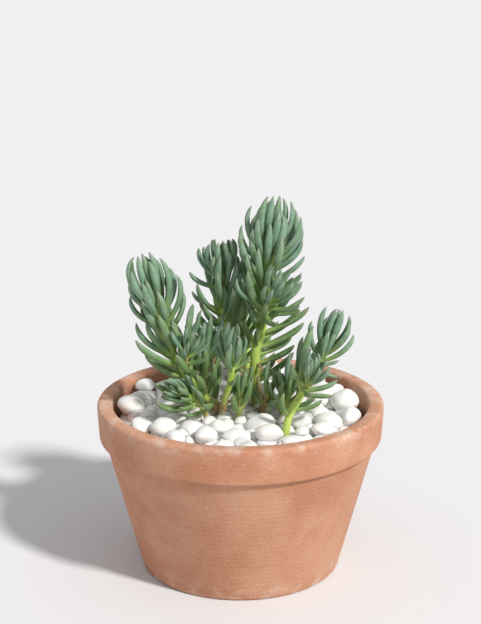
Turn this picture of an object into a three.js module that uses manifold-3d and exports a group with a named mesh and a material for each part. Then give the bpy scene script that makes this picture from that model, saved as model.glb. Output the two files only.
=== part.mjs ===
// A potted blue spruce sedum: a plain terracotta half pot, its soil, a dressing of white pebbles, and the
// leafy stems of the plant, each one standing in its own hole through the pebbles into the soil.
// Millimetres, +Z up, -Y to the viewer. The origin is the middle of the pot's foot, on what it stands on.
import * as THREE from "three";
import { mergeVertices } from "three/addons/utils/BufferGeometryUtils.js";
import Module from "manifold-3d";

const wasm = await Module();
wasm.setup();

// Pot: the radii and heights of its turned profile
const POT_HEIGHT = 72;
const RIM_RADIUS = 60;
const RIM_BAND = 15;
const RIM_STEP = 3;
const RIM_TAPER = 0.8;
const RIM_ROUND = 1.4;
const FOOT_RADIUS = 42;
const FOOT_RING = 7;
const FOOT_LIFT = 1.5;
const FOOT_ROUND = 1;
const FLOOR_TOP = 6.5;
const INSIDE_FOOT = 38;
const INSIDE_TOP = 53.4;
const DRAIN_RADIUS = 6;
const POT_SIDES = 32;

// Soil, the bed that the pebbles stand in, and the space left between pieces
const GAP = 0.3;
const SOIL_TOP = 59;
const BED_TOP = 68.4;
const BED_EDGE = 2;
const HOLE_ROOM = 0.6;
const HOLE_OVERSHOOT = 1;

// Pebbles: flattened balls, shaken apart until they hardly cross. Lengths are halves of a pebble's own
const PEBBLE_COUNT = 50;
const PEBBLE_HALF = [5.1, 7.8];
const PEBBLE_BREADTH = 0.86;
const PEBBLE_HEIGHT = 0.62;
const PEBBLE_MIDDLE = 68.8;
const PEBBLE_RISE = 3;
const PEBBLE_LOWEST = 67.2;
const PEBBLE_PROUD = 0.4;
const PEBBLE_FIELD = 52.6;
const PEBBLE_SCATTER = 20;
const PEBBLES_PER_STEM = 2;
const SMALL_PEBBLE_HALF = [3.2, 4.4];
const SMALL_PEBBLE_MIDDLE = 68.4;
const SMALL_PEBBLE_RISE = 1.5;
const SMALL_PEBBLE_SCATTER = 40;
const SMALLEST_PEBBLE = 2.4;
const STEM_ROOM = 0.5;
const PEBBLE_SEED = 77;
const SHAKES = 40;
const CLOSENESS = 0.97;
const CLOSENESS_TO_STEM = 0.95;
const FLATNESS = 1.5;
const LEVELLING = 0.4;
const SHRINK = 0.92;
const PEBBLE_SIDES = 6;
const PEBBLE_LAYERS = 4;

// Leaves: plump straps, widest half way along, with a flattened upper face and a keel below, bent most of all
// in their outer half
const LEAF_WIDTH = 3.7;
const LEAF_DEPTH = 1;
const LEAF_FOOT = 0.72;
const LEAF_ROOT = 0.4;
const LEAF_TAPER = 2.7;
const LEAF_BEND_AT = 0.6;
const LEAF_CORNERS = [26, 154, 270];
const LEAF_STATIONS = [0, 0.42, 0.8];
const SHORT_LEAF_STATIONS = [0, 0.6];
const SHORT_LEAF = 21;
const ROOT_OUT = 0.3;
const FULL_LEAF = 24;
const SMALL_LEAF = 0.42;
const STRAIGHT = 0.001;

// The spiral's crowding towards the top, and how unlike its leaves are in turn, length, spread and curl
const CROWDING = 1.4;
const TURN_SCATTER = 14;
const LENGTH_SCATTER = 0.16;
const SPREAD_SCATTER = 10;
const CURL_SCATTER = 12;

// Room between leaves: where along a leaf it is measured, the least radius there, how far leaves of one stem
// may press together past their crowded feet, how much further a leaf seen in profile may, and what a cut and
// a move count when the best place is chosen
const CLEARANCE_STATIONS = [0.12, 0.22, 0.32, 0.42, 0.52, 0.62, 0.72, 0.82, 0.91, 0.98];
const CROWDED_STATIONS = 3;
const LEAST_BALL = 0.25;
const PRESSED = 0.6;
const SEEN_GIVE = 1.2;
const CUT_COST = 2;
const MOVE_COST = 0.05;

// Stems
const STEM_SIDES = 5;
const STEM_STEP = 7;
const STEM_FOOT = 46;
const STEM_RISE = 63.5;
const CURVE_STEPS = 8;
const BALL_STEP = 1.5;

// Points nearer than WELD are one, and edges shorter than SLIVER, left where pieces of one solid cross, are
// closed up
const WELD = 0.0001;
const SLIVER = 0.04;

const CLAY = 0xb98262;
const COMPOST = 0x4a3b30;
const WHITE_STONE = 0xe6e5e0;
const BLUE_GREEN = 0x6b9a7d;

// The leafy stems. root: where the stem enters the pebbles (a branch has none: it starts inside its parent).
// path: points that it grows through. radius: at its foot and tip. bare: its length below the first leaf.
// leaves: how many follow the spiral, from turn degrees on. long, spread, curl: a leaf's length, its angle to
// the stem and how far it bends back towards it, for the lowest, middle and top leaves of the spiral. Below
// clearTo (a share of the leafy length) the spiral leaves out whatever points within clear degrees of left or
// right, where the leaves seen in profile stand. seen: those leaves, as distance along the stem, tip, curl.
const SHOOTS = [
  // Tall stem, feathered on both sides, with the egg-shaped head
  {
    node: "main_shoot", root: [7.2, 2], radius: [2.4, 1.7], seed: 11,
    path: [
      [6.1, 1, 81], [6.4, 0, 93.5], [8.9, 0, 103.5], [9.7, 1, 114.5], [10.1, 3, 126],
      [11.5, 4, 136],
    ],
    bare: 37, leaves: 40, turn: 80, clear: 34, clearTo: 0.82,
    long: [22, 24, 20], spread: [58, 46, 36], curl: [26, 44, 68],
    seen: [
      [24, 23, -2, 96, 20], [31, 27, 0, 105, 20], [28, 22, 6, 97, 20], [38, 29, -1, 112, 20],
      [35, 25, 5, 109, 20], [44, 27, 0, 116, 16], [47, 26, 5, 120, 18], [50, 26, -1, 123, 20],
      [53, 26, 5, 125, 18], [59, 27, 2, 133, 30], [16, 23, 4, 91, 16], [18, 15, 4, 88, 18],
      [63, 26, 1, 140, 48], [65, 26, 4, 145, 54], [67, 25, 2, 150, 60], [69, 23, 7, 152, 62],
      [71, 21, 4, 156, 60], [71, 18, 6, 157, 45], [71, 16, 0, 159, 28], [71, 13, -1, 159, 35],
      [70, 11, 1, 159, 70], [68, 4, 6, 154, 62], [68, 6, 11, 149, 50], [66, 0, 5, 146, 62],
      [63, 4, -4, 143, 44], [61, 0, 6, 138, 67], [55, 2, -4, 136, 44], [50, -2, -2, 125, 80],
      [20, -4, -5, 75, -90], [44, 2, 3, 115, 42], [33, 1, 5, 104, 29], [8, 4, -3, 82, 25],
    ],
  },
  // Its side rosette, facing the viewer
  {
    node: "main_shoot", radius: [1.5, 1.1], seed: 12,
    path: [[8.8, 0, 108], [9.6, -5, 111.5], [11.6, -8.5, 116.5], [13, -9.5, 119]],
    bare: 3.5, leaves: 13, turn: 100, clear: 0, clearTo: 0.9,
    long: [16, 17, 14], spread: [66, 54, 30], curl: [30, 44, 46],
  },
  // Stem behind, left of the tall one
  {
    node: "back_shoot", root: [-1.6, 16], radius: [1.9, 1.3], seed: 21,
    path: [
      [-3.6, 16, 79.5], [-6.2, 15, 95.4], [-7.8, 14, 108.9], [-6.9, 13, 116],
      [-7.2, 12, 120],
    ],
    bare: 20, leaves: 34, turn: 40, clear: 30, clearTo: 0.9,
    long: [20, 22, 19], spread: [58, 48, 32], curl: [30, 42, 56],
    seen: [
      [57, -18, 14, 134, 69], [57, -16, 17, 134, 66], [54, -22, 12, 124, 58], [44, -21, 14, 115, 47],
      [37, -18, 20, 109, 40], [57, -11, 10, 139, 58], [56, -7, 7, 139, 24], [57, -3, 11, 139, 58],
      [52, -1, 16, 125, 54], [57, -6, 14, 136, 24],
    ],
  },
  // Long stem leaning left
  {
    node: "left_shoot", root: [-7.6, -3], radius: [1.9, 1.3], seed: 31,
    path: [
      [-9.6, -5, 70.6], [-13.6, -8.6, 75.2], [-18.7, -11, 81.5], [-23.9, -12, 89.5], [-28.7, -11, 99.1],
      [-32.4, -11, 108.5], [-34.4, -11, 116],
    ],
    bare: 11, leaves: 40, turn: 200, clear: 40, clearTo: 0.86,
    long: [19, 24, 21], spread: [54, 44, 36], curl: [22, 44, 66],
    seen: [
      [58, -45, -10, 126, 69], [60, -43, -12, 137, 84], [60, -41, -16, 138, 60], [60, -39, -16, 139, 33],
      [60, -36, -13, 139, 27], [56, -32, -14, 137, 66], [56, -28, -11, 132, 60], [52, -25, -14, 130, 60],
      [48, -23, -9, 122, 48], [52, -45, -11, 120, 69], [48, -41, -8, 114, 45], [39, -43, -12, 109, 57],
      [28, -39, -14, 98, 48], [36, -37, -4, 99, 33], [56, -38, -17, 130, 48],
    ],
  },
  // Small branch on its right side
  {
    node: "left_shoot", radius: [1.4, 1.1], seed: 32,
    path: [[-22.5, -12.3, 87.2], [-22.6, -16, 93], [-21.2, -18, 98]],
    bare: 3, leaves: 11, turn: 10, clear: 20, clearTo: 0.9,
    long: [13, 13, 11], spread: [60, 46, 12], curl: [22, 20, 10],
    seen: [
      [12, -19, -18, 119, 27], [11, -17, -18, 112, 38], [10, -14, -18, 106, 40], [12, -21, -22, 111, 18],
      [12, -28, -21, 108, 22],
    ],
  },
  // Between the left stem and the front one
  {
    node: "inner_left_shoot", root: [-10.6, 2], radius: [1.7, 1.2], seed: 41,
    path: [[-15.8, 3, 74], [-17.4, 4, 79.9], [-15.7, 5, 88.4], [-14, 5, 93]],
    bare: 5, leaves: 26, turn: 10, clear: 16, clearTo: 0.9,
    long: [18, 20, 18], spread: [60, 46, 28], curl: [30, 42, 44],
    seen: [
      [21, -15, 4, 98, 38], [20, -12, 2, 108, 27], [18, -11, 7, 99, 27], [18, -21, 7, 87, 27],
    ],
  },
  // Small head on a bare stem in front
  {
    node: "front_shoot", root: [-8.2, -9.6], radius: [1.6, 1.2], seed: 51,
    path: [[-7.4, -10.4, 70.6], [-6.2, -13, 77], [-4.4, -16, 83.6], [-3.6, -19, 90.6], [-3.4, -20, 93.5]],
    bare: 23, leaves: 10, turn: 10, clear: 30, clearTo: 0.9,
    long: [13, 17, 18], spread: [58, 46, 26], curl: [28, 44, 44],
    seen: [
      [30, -8, -21, 110, 57], [30, -5, -24, 113, 27], [30, -1, -22, 112, 28], [30, 2, -20, 106, 60],
      [30, -3, -27, 112, 27], [30, -10, -17, 101, 45], [30, 4, -18, 96, 27],
    ],
  },
  // Leaning stem at the right
  {
    node: "right_shoot", root: [17.6, -30.4], radius: [1.8, 1.3], seed: 61,
    path: [
      [19.3, -29.4, 74.6], [22.3, -28, 80], [25.3, -26, 84.6], [28.3, -23, 87.9], [31.2, -20, 92.2],
      [33.6, -18, 97], [34.6, -18, 100],
    ],
    bare: 26, leaves: 12, turn: 10, clear: 50, clearTo: 0.9,
    long: [14, 17, 17], spread: [62, 50, 28], curl: [28, 46, 46],
    seen: [
      [22, 28.5, -22, 111, 18], [41, 34, -19, 118, 51], [42, 38, -18, 117, 30], [42, 41, -22, 117, 30],
      [43, 44, -19, 114, 52], [38, 46, -19, 106, 60], [38, 28, -19, 112, 47], [42, 40, -16, 116, 24],
      [36, 40, -17, 94, -8], [33, 39, -21, 88, -24], [24, 39, -27, 89, 32], [22, 37, -29, 83, -6],
      [15, 33, -30, 82, 34], [12, 17, -35, 87, 76],
    ],
  },
  // Its lower rosette
  {
    node: "right_shoot", radius: [1.3, 1], seed: 64,
    path: [[25.3, -26, 84.6], [26.2, -28.6, 88], [26.9, -30.4, 92]],
    bare: 2, leaves: 10, turn: 10, clear: 0, clearTo: 0.9,
    long: [14, 15, 13], spread: [48, 38, 20], curl: [26, 34, 30],
    seen: [
      [9, 34, -35, 100, 27], [9, 27, -37, 104, 27],
    ],
  },
  // Short stem in the shade of the tall one
  {
    node: "small_right_shoot", root: [17.2, -12], radius: [1.4, 1.1], seed: 71,
    path: [[17.5, -12, 70], [18.7, -12, 75], [19.4, -12, 79]],
    bare: 5, leaves: 14, turn: 10, clear: 0, clearTo: 0.9,
    long: [14, 15, 13], spread: [60, 44, 14], curl: [22, 24, 16],
    seen: [
      [16, 20, -14, 97, 18],
    ],
  },
  // Short stem with two long upright leaves
  {
    node: "thin_right_shoot", root: [22.9, -6], radius: [1.4, 1.1], seed: 81,
    path: [[23, -6, 70], [24.5, -6, 78], [25.4, -6, 82]],
    bare: 10, leaves: 8, turn: 10, clear: 0, clearTo: 0.9,
    long: [13, 14, 14], spread: [50, 30, 6], curl: [18, 14, 6],
    seen: [
      [18, 25, -8, 102, 18], [18, 27, -5, 100, 18],
    ],
  },
  // Low stem at the front left
  {
    node: "low_left_shoot", root: [-13.6, -14.6], radius: [1.3, 1], seed: 91,
    path: [[-14.6, -15.2, 72], [-17.6, -17.4, 76.4], [-21, -20, 80.4], [-24, -22.4, 83]],
    bare: 5, leaves: 13, turn: 10, clear: 0, clearTo: 0.9,
    long: [12, 13, 11], spread: [64, 50, 22], curl: [24, 30, 28],
    seen: [
      [13, -34.5, -27, 79.6, 44], [15, -31, -26, 88, 24], [17, -27.6, -22, 88, 20], [16, -32, -28, 84, 24],
      [14, -24, -19, 88, 20],
    ],
  },
  // Short stem with small shrivelled leaves
  {
    node: "withered_shoot", root: [8.8, -10], radius: [1.4, 1.1], seed: 101,
    path: [[9.7, -11, 73], [11.3, -12, 78]],
    bare: 4, leaves: 12, turn: 60, clear: 0, clearTo: 0.9,
    long: [14, 15, 14], spread: [62, 46, 18], curl: [18, 20, 16],
  },
  // Dark stem at the back
  {
    node: "rear_shoot", root: [2.8, 29], radius: [1.8, 1.3], seed: 111,
    path: [[2.6, 29, 72], [2.4, 29, 86], [0.6, 28.5, 98.3], [-0.2, 28, 106]],
    bare: 8, leaves: 36, turn: 10, clear: 0, clearTo: 0.9,
    long: [17, 18, 14], spread: [64, 52, 12], curl: [24, 30, 12],
  },
  // Low stem at the back
  {
    node: "rear_left_shoot", root: [-12, 24], radius: [1.5, 1.2], seed: 121,
    path: [[-17.7, 28, 75], [-19.4, 28.5, 82]],
    bare: 9, leaves: 12, turn: 10, clear: 0, clearTo: 0.9,
    long: [14, 14, 12], spread: [62, 48, 14], curl: [20, 24, 12],
  },
  // Low stem in front of the tall one
  {
    node: "low_middle_shoot", root: [-0.8, -14], radius: [1.4, 1.1], seed: 131,
    path: [[-0.6, -14.4, 70], [0, -15, 75], [0.6, -15.4, 79.5]],
    bare: 6, leaves: 11, turn: 200, clear: 0, clearTo: 0.9,
    long: [13, 14, 12], spread: [48, 34, 16], curl: [30, 30, 24],
    seen: [
      [14, -2, -19, 89, 19],
    ],
  },
];

const degrees = (angle) => angle * Math.PI / 180;
const GOLDEN_TURN = 180 * (3 - Math.sqrt(5));

// Repeatable random numbers between 0 and 1
function dice(seed) {
  let state = seed * 48271 % 2147483647;
  return () => {
    state = state * 16807 % 2147483647;
    return state / 2147483647;
  };
}

// The smooth curve of a stem as short straight runs, and each point's distance along it from where it leaves
// the soil
function stemLine(shoot) {
  const points = shoot.path.map((point) => new THREE.Vector3(...point));
  if (shoot.root) {
    points.unshift(new THREE.Vector3(...shoot.root, STEM_FOOT), new THREE.Vector3(...shoot.root, STEM_RISE));
  }
  const curve = new THREE.CatmullRomCurve3(points);
  const steps = CURVE_STEPS * (points.length - 1);
  const line = [];
  const run = [0];
  for (let i = 0; i <= steps; i++) {
    line.push(curve.getPoint(i / steps));
    if (i) run.push(run[i - 1] + line[i].distanceTo(line[i - 1]));
  }
  const buried = shoot.root ? STEM_RISE - STEM_FOOT : 0;
  return { line, run: run.map((distance) => distance - buried) };
}

// The point and direction of a stem at a distance along it
function onStem(stem, distance) {
  const { line, run } = stem;
  let i = 0;
  while (i < run.length - 2 && run[i + 1] <= distance) i++;
  const share = (distance - run[i]) / (run[i + 1] - run[i]);
  const before = line[Math.max(0, i - 1)];
  const after = line[Math.min(line.length - 1, i + 2)];
  return {
    point: line[i].clone().lerp(line[i + 1], share),
    along: after.clone().sub(before).normalize(),
  };
}

const stemLength = (stem) => stem.run[stem.run.length - 1];

function stemRadius(shoot, stem, distance) {
  const [foot, tip] = shoot.radius;
  return foot + (tip - foot) * Math.max(0, distance) / stemLength(stem);
}

// A value given for the lowest, middle and top leaves, at a share of the way up
function between([low, middle, top], share) {
  return low + (4 * middle - 3 * low - top) * share + (2 * low + 2 * top - 4 * middle) * share * share;
}

// Width of a leaf along its length, as a share of its greatest, which it has half way
function leafWidth(share) {
  if (share > 0.5) return 1 - Math.pow(2 * share - 1, LEAF_TAPER);
  return LEAF_FOOT + (1 - LEAF_FOOT) * 2 * share * (2 - 2 * share);
}

// A leaf's middle line is a bend from its root through a bow point to its tip
function leafPoint(leaf, share) {
  const rest = 1 - share;
  return leaf.root.clone().multiplyScalar(rest * rest)
    .addScaledVector(leaf.bow, 2 * rest * share)
    .addScaledVector(leaf.tip, share * share);
}

function leafSlope(leaf, share) {
  return leaf.bow.clone().sub(leaf.root).multiplyScalar(1 - share)
    .addScaledVector(leaf.tip.clone().sub(leaf.bow), share)
    .normalize();
}

function bentLeaf(root, along, out, length, spread, curl) {
  const start = degrees(spread);
  const bend = degrees(curl);
  const aimed = (angle) => along.clone().multiplyScalar(Math.cos(angle))
    .addScaledVector(out, Math.sin(angle));
  const first = aimed(start);
  const last = aimed(start - bend);
  const course = length * bendStretch(bend);
  const bow = root.clone().addScaledVector(first, course * LEAF_BEND_AT);
  return {
    root,
    long: length,
    bow,
    tip: bow.clone().addScaledVector(last, course * (1 - LEAF_BEND_AT)),
    side: along.clone().cross(out),
    size: SMALL_LEAF + (1 - SMALL_LEAF) * Math.min(1, length / FULL_LEAF),
  };
}

// What a leaf must keep clear of is held as balls: along stems, then along every leaf that is placed
const stems = SHOOTS.map(stemLine);
const balls = [];
SHOOTS.forEach((shoot, index) => {
  const stem = stems[index];
  for (let distance = stem.run[0]; distance <= stemLength(stem); distance += BALL_STEP) {
    const { point } = onStem(stem, distance);
    balls.push({ point, radius: stemRadius(shoot, stem, distance), node: shoot.node, blade: false });
  }
});

// Pebbles: a sunflower spread over the pot and a few small ones round each stem, then shaken apart
function placePebbles() {
  const roll = dice(PEBBLE_SEED);
  const size = ([least, most]) => least + (most - least) * roll();
  const either = (range) => range * (roll() - 0.5);
  const pebbles = [];
  for (let i = 0; i < PEBBLE_COUNT; i++) {
    const half = size(PEBBLE_HALF);
    const reach = (PEBBLE_FIELD - half) * Math.sqrt((i + 0.5) / PEBBLE_COUNT);
    const angle = degrees(i * GOLDEN_TURN + either(PEBBLE_SCATTER));
    const z = PEBBLE_MIDDLE + either(PEBBLE_RISE);
    pebbles.push({ x: reach * Math.cos(angle), y: reach * Math.sin(angle), z, half, turn: 360 * roll() });
  }
  const rooted = SHOOTS.filter((shoot) => shoot.root);
  for (const shoot of rooted) {
    const first = 360 * roll();
    for (let j = 0; j < PEBBLES_PER_STEM; j++) {
      const half = size(SMALL_PEBBLE_HALF);
      const angle = degrees(first + 360 / PEBBLES_PER_STEM * j + either(SMALL_PEBBLE_SCATTER));
      const reach = shoot.radius[0] + half + STEM_ROOM;
      const x = shoot.root[0] + reach * Math.cos(angle);
      const y = shoot.root[1] + reach * Math.sin(angle);
      const z = SMALL_PEBBLE_MIDDLE + SMALL_PEBBLE_RISE * roll();
      pebbles.push({ x, y, z, half, turn: 360 * roll() });
    }
  }
  for (let shake = 0; shake < SHAKES; shake++) {
    pebbles.forEach((a, i) => pebbles.slice(i + 1).forEach((b) => pushApart(a, b)));
    for (const pebble of pebbles) {
      for (const shoot of rooted) pushOff(pebble, shoot);
      const scale = Math.min(1, (PEBBLE_FIELD - pebble.half) / Math.hypot(pebble.x, pebble.y));
      pebble.x *= scale;
      pebble.y *= scale;
      pebble.z = Math.min(Math.max(pebble.z, PEBBLE_LOWEST), highest(pebble));
    }
  }
  pebbles.forEach(shrinkFromStems);
  return pebbles.filter((pebble) => pebble.half > SMALLEST_PEBBLE);
}

// A pebble's highest middle that leaves it well sunk in the bed
function highest(pebble) {
  return BED_TOP + PEBBLE_PROUD * pebble.half * PEBBLE_HEIGHT;
}

function pushApart(a, b) {
  const [x, y, z] = [b.x - a.x, b.y - a.y, (b.z - a.z) * FLATNESS];
  const whole = a.half + b.half;
  const far = Math.sqrt(x * x + y * y + z * z);
  if (far >= whole * CLOSENESS) return;
  const push = (whole * CLOSENESS - far) / far / 2;
  for (const [pebble, share] of [[a, -b.half / whole], [b, a.half / whole]]) {
    pebble.x += x * push * share;
    pebble.y += y * push * share;
    pebble.z += z * push * share * LEVELLING;
  }
}

function pushOff(pebble, shoot) {
  const x = pebble.x - shoot.root[0];
  const y = pebble.y - shoot.root[1];
  const far = Math.sqrt(x * x + y * y);
  const wanted = pebble.half * CLOSENESS_TO_STEM + shoot.radius[0] + STEM_ROOM;
  if (far >= wanted) return;
  pebble.x += x / far * (wanted - far);
  pebble.y += y / far * (wanted - far);
}

function touchesPebble(pebble, point, radius) {
  const flat = pebble.half + radius + GAP;
  const tall = pebble.half * PEBBLE_HEIGHT + radius + GAP;
  const [x, y, z] = [(point.x - pebble.x) / flat, (point.y - pebble.y) / flat, (point.z - pebble.z) / tall];
  return x * x + y * y + z * z < 1;
}

function shrinkFromStems(pebble) {
  const touched = () => balls.some(({ point, radius }) => touchesPebble(pebble, point, radius));
  while (pebble.half > SMALLEST_PEBBLE && touched()) {
    pebble.half *= SHRINK;
    pebble.z = Math.min(pebble.z, highest(pebble));
  }
}

const pebbles = placePebbles();

// Ways to move a leaf that is blocked, tried in turn: [lift, yaw] in degrees, and a share of its length
const MOVES = [
  [0, 0, 1], [8, 0, 1], [-8, 0, 1], [0, 16, 1], [0, -16, 1], [-14, 12, 1], [-14, -12, 1], [16, 0, 1],
  [0, 30, 1], [0, -30, 1], [-24, 0, 0.9], [-12, 0, 0.8], [0, 20, 0.75], [0, -20, 0.75], [-30, 20, 0.7],
  [-30, -20, 0.7], [0, 0, 0.6], [-20, 0, 0.55],
];
const LEAST_SPREAD = 4;
const SIDE_LIMIT = 58.5;
const RIM_ZONE = 50;

function leafBalls(leaf, node) {
  return CLEARANCE_STATIONS.map((share) => ({
    point: leafPoint(leaf, share),
    radius: LEAF_WIDTH / 2 * leaf.size * Math.max(LEAST_BALL, leafWidth(share)),
    node,
    blade: true,
  }));
}

function isBlocked(placed, node) {
  return placed.some(({ point, radius }) => {
    if (Math.max(Math.abs(point.x), Math.abs(point.y)) > SIDE_LIMIT) return true;
    const low = point.z - radius;
    if (low < BED_TOP + GAP) return true;
    if (Math.hypot(point.x, point.y) > RIM_ZONE && low < POT_HEIGHT + GAP) return true;
    if (pebbles.some((pebble) => touchesPebble(pebble, point, radius))) return true;
    return balls.some((ball) => {
      return ball.node !== node && ball.point.distanceTo(point) < ball.radius + radius + GAP;
    });
  });
}

// How deep a leaf cuts into other leaves of its own stem, past the crowded foot of the leaf
function cutsOwn(placed, node) {
  let deepest = 0;
  for (const { point, radius } of placed.slice(CROWDED_STATIONS)) {
    for (const ball of balls) {
      if (ball.node !== node || !ball.blade) continue;
      deepest = Math.max(deepest, ball.radius + radius - ball.point.distanceTo(point) - PRESSED);
    }
  }
  return deepest;
}

// A leaf takes the first way of moving it that is free, or else the one that cuts least into its own stem's
function placeLeaf(shoot, stem, wish) {
  const { point, along } = onStem(stem, wish.distance);
  const front = new THREE.Vector3(0, -1, 0).addScaledVector(along, along.y).normalize();
  const right = along.clone().cross(front);
  const inset = ROOT_OUT * stemRadius(shoot, stem, wish.distance);
  let best = null;
  for (const [move, [lift, yaw, share]] of MOVES.entries()) {
    const angle = degrees(wish.turn + yaw);
    const out = front.clone().multiplyScalar(Math.cos(angle)).addScaledVector(right, Math.sin(angle));
    const spread = Math.max(LEAST_SPREAD, wish.spread + lift);
    const root = point.clone().addScaledVector(out, inset);
    const leaf = bentLeaf(root, along, out, wish.length * share, spread, wish.curl);
    const placed = leafBalls(leaf, shoot.node);
    if (isBlocked(placed, shoot.node)) continue;
    const cut = Math.max(0, cutsOwn(placed, shoot.node) - (wish.give ?? 0));
    const cost = cut * CUT_COST + move * MOVE_COST;
    if (!best || cost < best.cost) best = { cost, leaf, placed };
    if (cut <= 0) break;
  }
  if (!best) return null;
  balls.push(...best.placed);
  return best.leaf;
}

// How much longer the two straight runs of a bent leaf are than the leaf
function bendStretch(bend) {
  return Math.abs(bend) > STRAIGHT ? Math.tan(bend / 2) / (bend / 2) : 1;
}

function seenWish(shoot, stem, [distance, x, y, z, curl]) {
  const { point, along } = onStem(stem, distance);
  const whole = new THREE.Vector3(x, y, z).sub(point);
  const out = whole.clone().addScaledVector(along, -whole.dot(along)).normalize();
  const reach = whole.addScaledVector(out, -ROOT_OUT * stemRadius(shoot, stem, distance));
  const front = new THREE.Vector3(0, -1, 0).addScaledVector(along, along.y).normalize();
  const right = along.clone().cross(front);
  const bend = degrees(curl);
  const across = (1 - LEAF_BEND_AT) * Math.sin(bend);
  const ahead = LEAF_BEND_AT + (1 - LEAF_BEND_AT) * Math.cos(bend);
  const lean = Math.atan2(reach.dot(out), reach.dot(along)) + Math.atan2(across, ahead);
  return {
    distance,
    turn: Math.atan2(out.dot(right), out.dot(front)) * 180 / Math.PI,
    length: reach.length() / Math.hypot(across, ahead) / bendStretch(bend),
    spread: lean * 180 / Math.PI,
    curl,
    give: SEEN_GIVE,
  };
}

function seenWishes(shoot, stem) {
  return (shoot.seen ?? []).map((row) => seenWish(shoot, stem, row));
}

function spiralWishes(shoot, stem) {
  const roll = dice(shoot.seed);
  const either = (range) => range * (roll() - 0.5);
  const wishes = [];
  for (let i = 0; i < shoot.leaves; i++) {
    const share = i / (shoot.leaves - 1);
    const leafy = 1 - Math.pow(1 - share, CROWDING);
    const wish = {
      distance: shoot.bare + (stemLength(stem) - shoot.bare) * leafy,
      turn: shoot.turn + GOLDEN_TURN * i + either(TURN_SCATTER),
      length: between(shoot.long, share) * (1 + either(LENGTH_SCATTER)),
      spread: between(shoot.spread, share) + either(SPREAD_SCATTER),
      curl: between(shoot.curl, share) + either(CURL_SCATTER),
    };
    const inProfile = Math.abs(wish.turn % 180 - 90) < shoot.clear && share < shoot.clearTo;
    if (!inProfile) wishes.push(wish);
  }
  return wishes;
}

// Every stem's seen leaves take their places before any spiral fills in between them
const leaves = SHOOTS.map(() => []);
for (const wishesOf of [seenWishes, spiralWishes]) {
  SHOOTS.forEach((shoot, index) => {
    for (const wish of wishesOf(shoot, stems[index])) {
      const leaf = placeLeaf(shoot, stems[index], wish);
      if (leaf) leaves[index].push(leaf);
    }
  });
}

// Solids
function solidOf(geometry) {
  for (const name of Object.keys(geometry.attributes)) {
    if (name !== "position") geometry.deleteAttribute(name);
  }
  const welded = mergeVertices(geometry, WELD);
  return new wasm.Manifold(new wasm.Mesh({
    numProp: 3,
    vertProperties: new Float32Array(welded.attributes.position.array),
    triVerts: new Uint32Array(welded.index.array),
  }));
}

// The largest body alone, without the loose scraps that a union may leave
function largest(solid) {
  return solid.decompose().reduce((best, body) => (body.volume() > best.volume() ? body : best));
}

function meshOf(solid, name, color, roughness) {
  const { vertProperties, triVerts } = largest(solid.simplify(SLIVER)).getMesh();
  const geometry = new THREE.BufferGeometry();
  geometry.setAttribute("position", new THREE.BufferAttribute(new Float32Array(vertProperties), 3));
  geometry.setIndex(new THREE.BufferAttribute(new Uint32Array(triVerts), 1));
  geometry.computeVertexNormals();
  const mesh = new THREE.Mesh(geometry, new THREE.MeshStandardMaterial({ color, roughness, metalness: 0 }));
  mesh.name = name;
  return mesh;
}

// A skin over rings of points: each ring turns anticlockwise seen from the end, and the end is one tip point
function loft(rings, tip) {
  const sides = rings[0].length;
  const points = [...rings.flat(), tip];
  const last = (rings.length - 1) * sides;
  const faces = [];
  for (let i = 0; i < sides; i++) {
    const next = (i + 1) % sides;
    for (let ring = 0; ring < rings.length - 1; ring++) {
      const low = ring * sides;
      const high = low + sides;
      faces.push(low + i, low + next, high + next, low + i, high + next, high + i);
    }
    faces.push(last + i, last + next, points.length - 1);
    if (i > 0 && next > 0) faces.push(0, next, i);
  }
  const geometry = new THREE.BufferGeometry().setFromPoints(points);
  geometry.setIndex(faces);
  return solidOf(geometry);
}

// A leaf's foot is drawn in, so that the feet crowded together inside a stem cross less
function leafSolid(leaf) {
  const stations = leaf.long < SHORT_LEAF ? SHORT_LEAF_STATIONS : LEAF_STATIONS;
  const rings = stations.map((share) => {
    const middle = leafPoint(leaf, share);
    const up = leafSlope(leaf, share).cross(leaf.side);
    const half = LEAF_WIDTH / 2 * leaf.size * (share > 0 ? leafWidth(share) : LEAF_ROOT);
    return LEAF_CORNERS.map((corner) => middle.clone()
      .addScaledVector(leaf.side, half * Math.cos(degrees(corner)))
      .addScaledVector(up, half * LEAF_DEPTH * Math.sin(degrees(corner))));
  });
  return loft(rings, leaf.tip);
}

// Rings of points round a stem at even steps from its foot to its end, with some room outside its own radius
function stemRings(shoot, stem, room) {
  const start = stem.run[0];
  const length = stemLength(stem) - start;
  const steps = Math.ceil(length / STEM_STEP);
  return Array.from({ length: steps + 1 }, (_, step) => {
    const distance = start + length * step / steps;
    const { point, along } = onStem(stem, distance);
    const radius = stemRadius(shoot, stem, distance) + room;
    const front = new THREE.Vector3(0, -1, 0).addScaledVector(along, along.y).normalize();
    const right = along.clone().cross(front);
    return Array.from({ length: STEM_SIDES }, (_, side) => {
      const angle = 2 * Math.PI * side / STEM_SIDES;
      return point.clone()
        .addScaledVector(front, radius * Math.cos(angle))
        .addScaledVector(right, radius * Math.sin(angle));
    });
  });
}

function stemSolid(shoot, stem) {
  const end = onStem(stem, stemLength(stem));
  return loft(stemRings(shoot, stem, 0), end.point.addScaledVector(end.along, shoot.radius[1] / 2));
}

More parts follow.
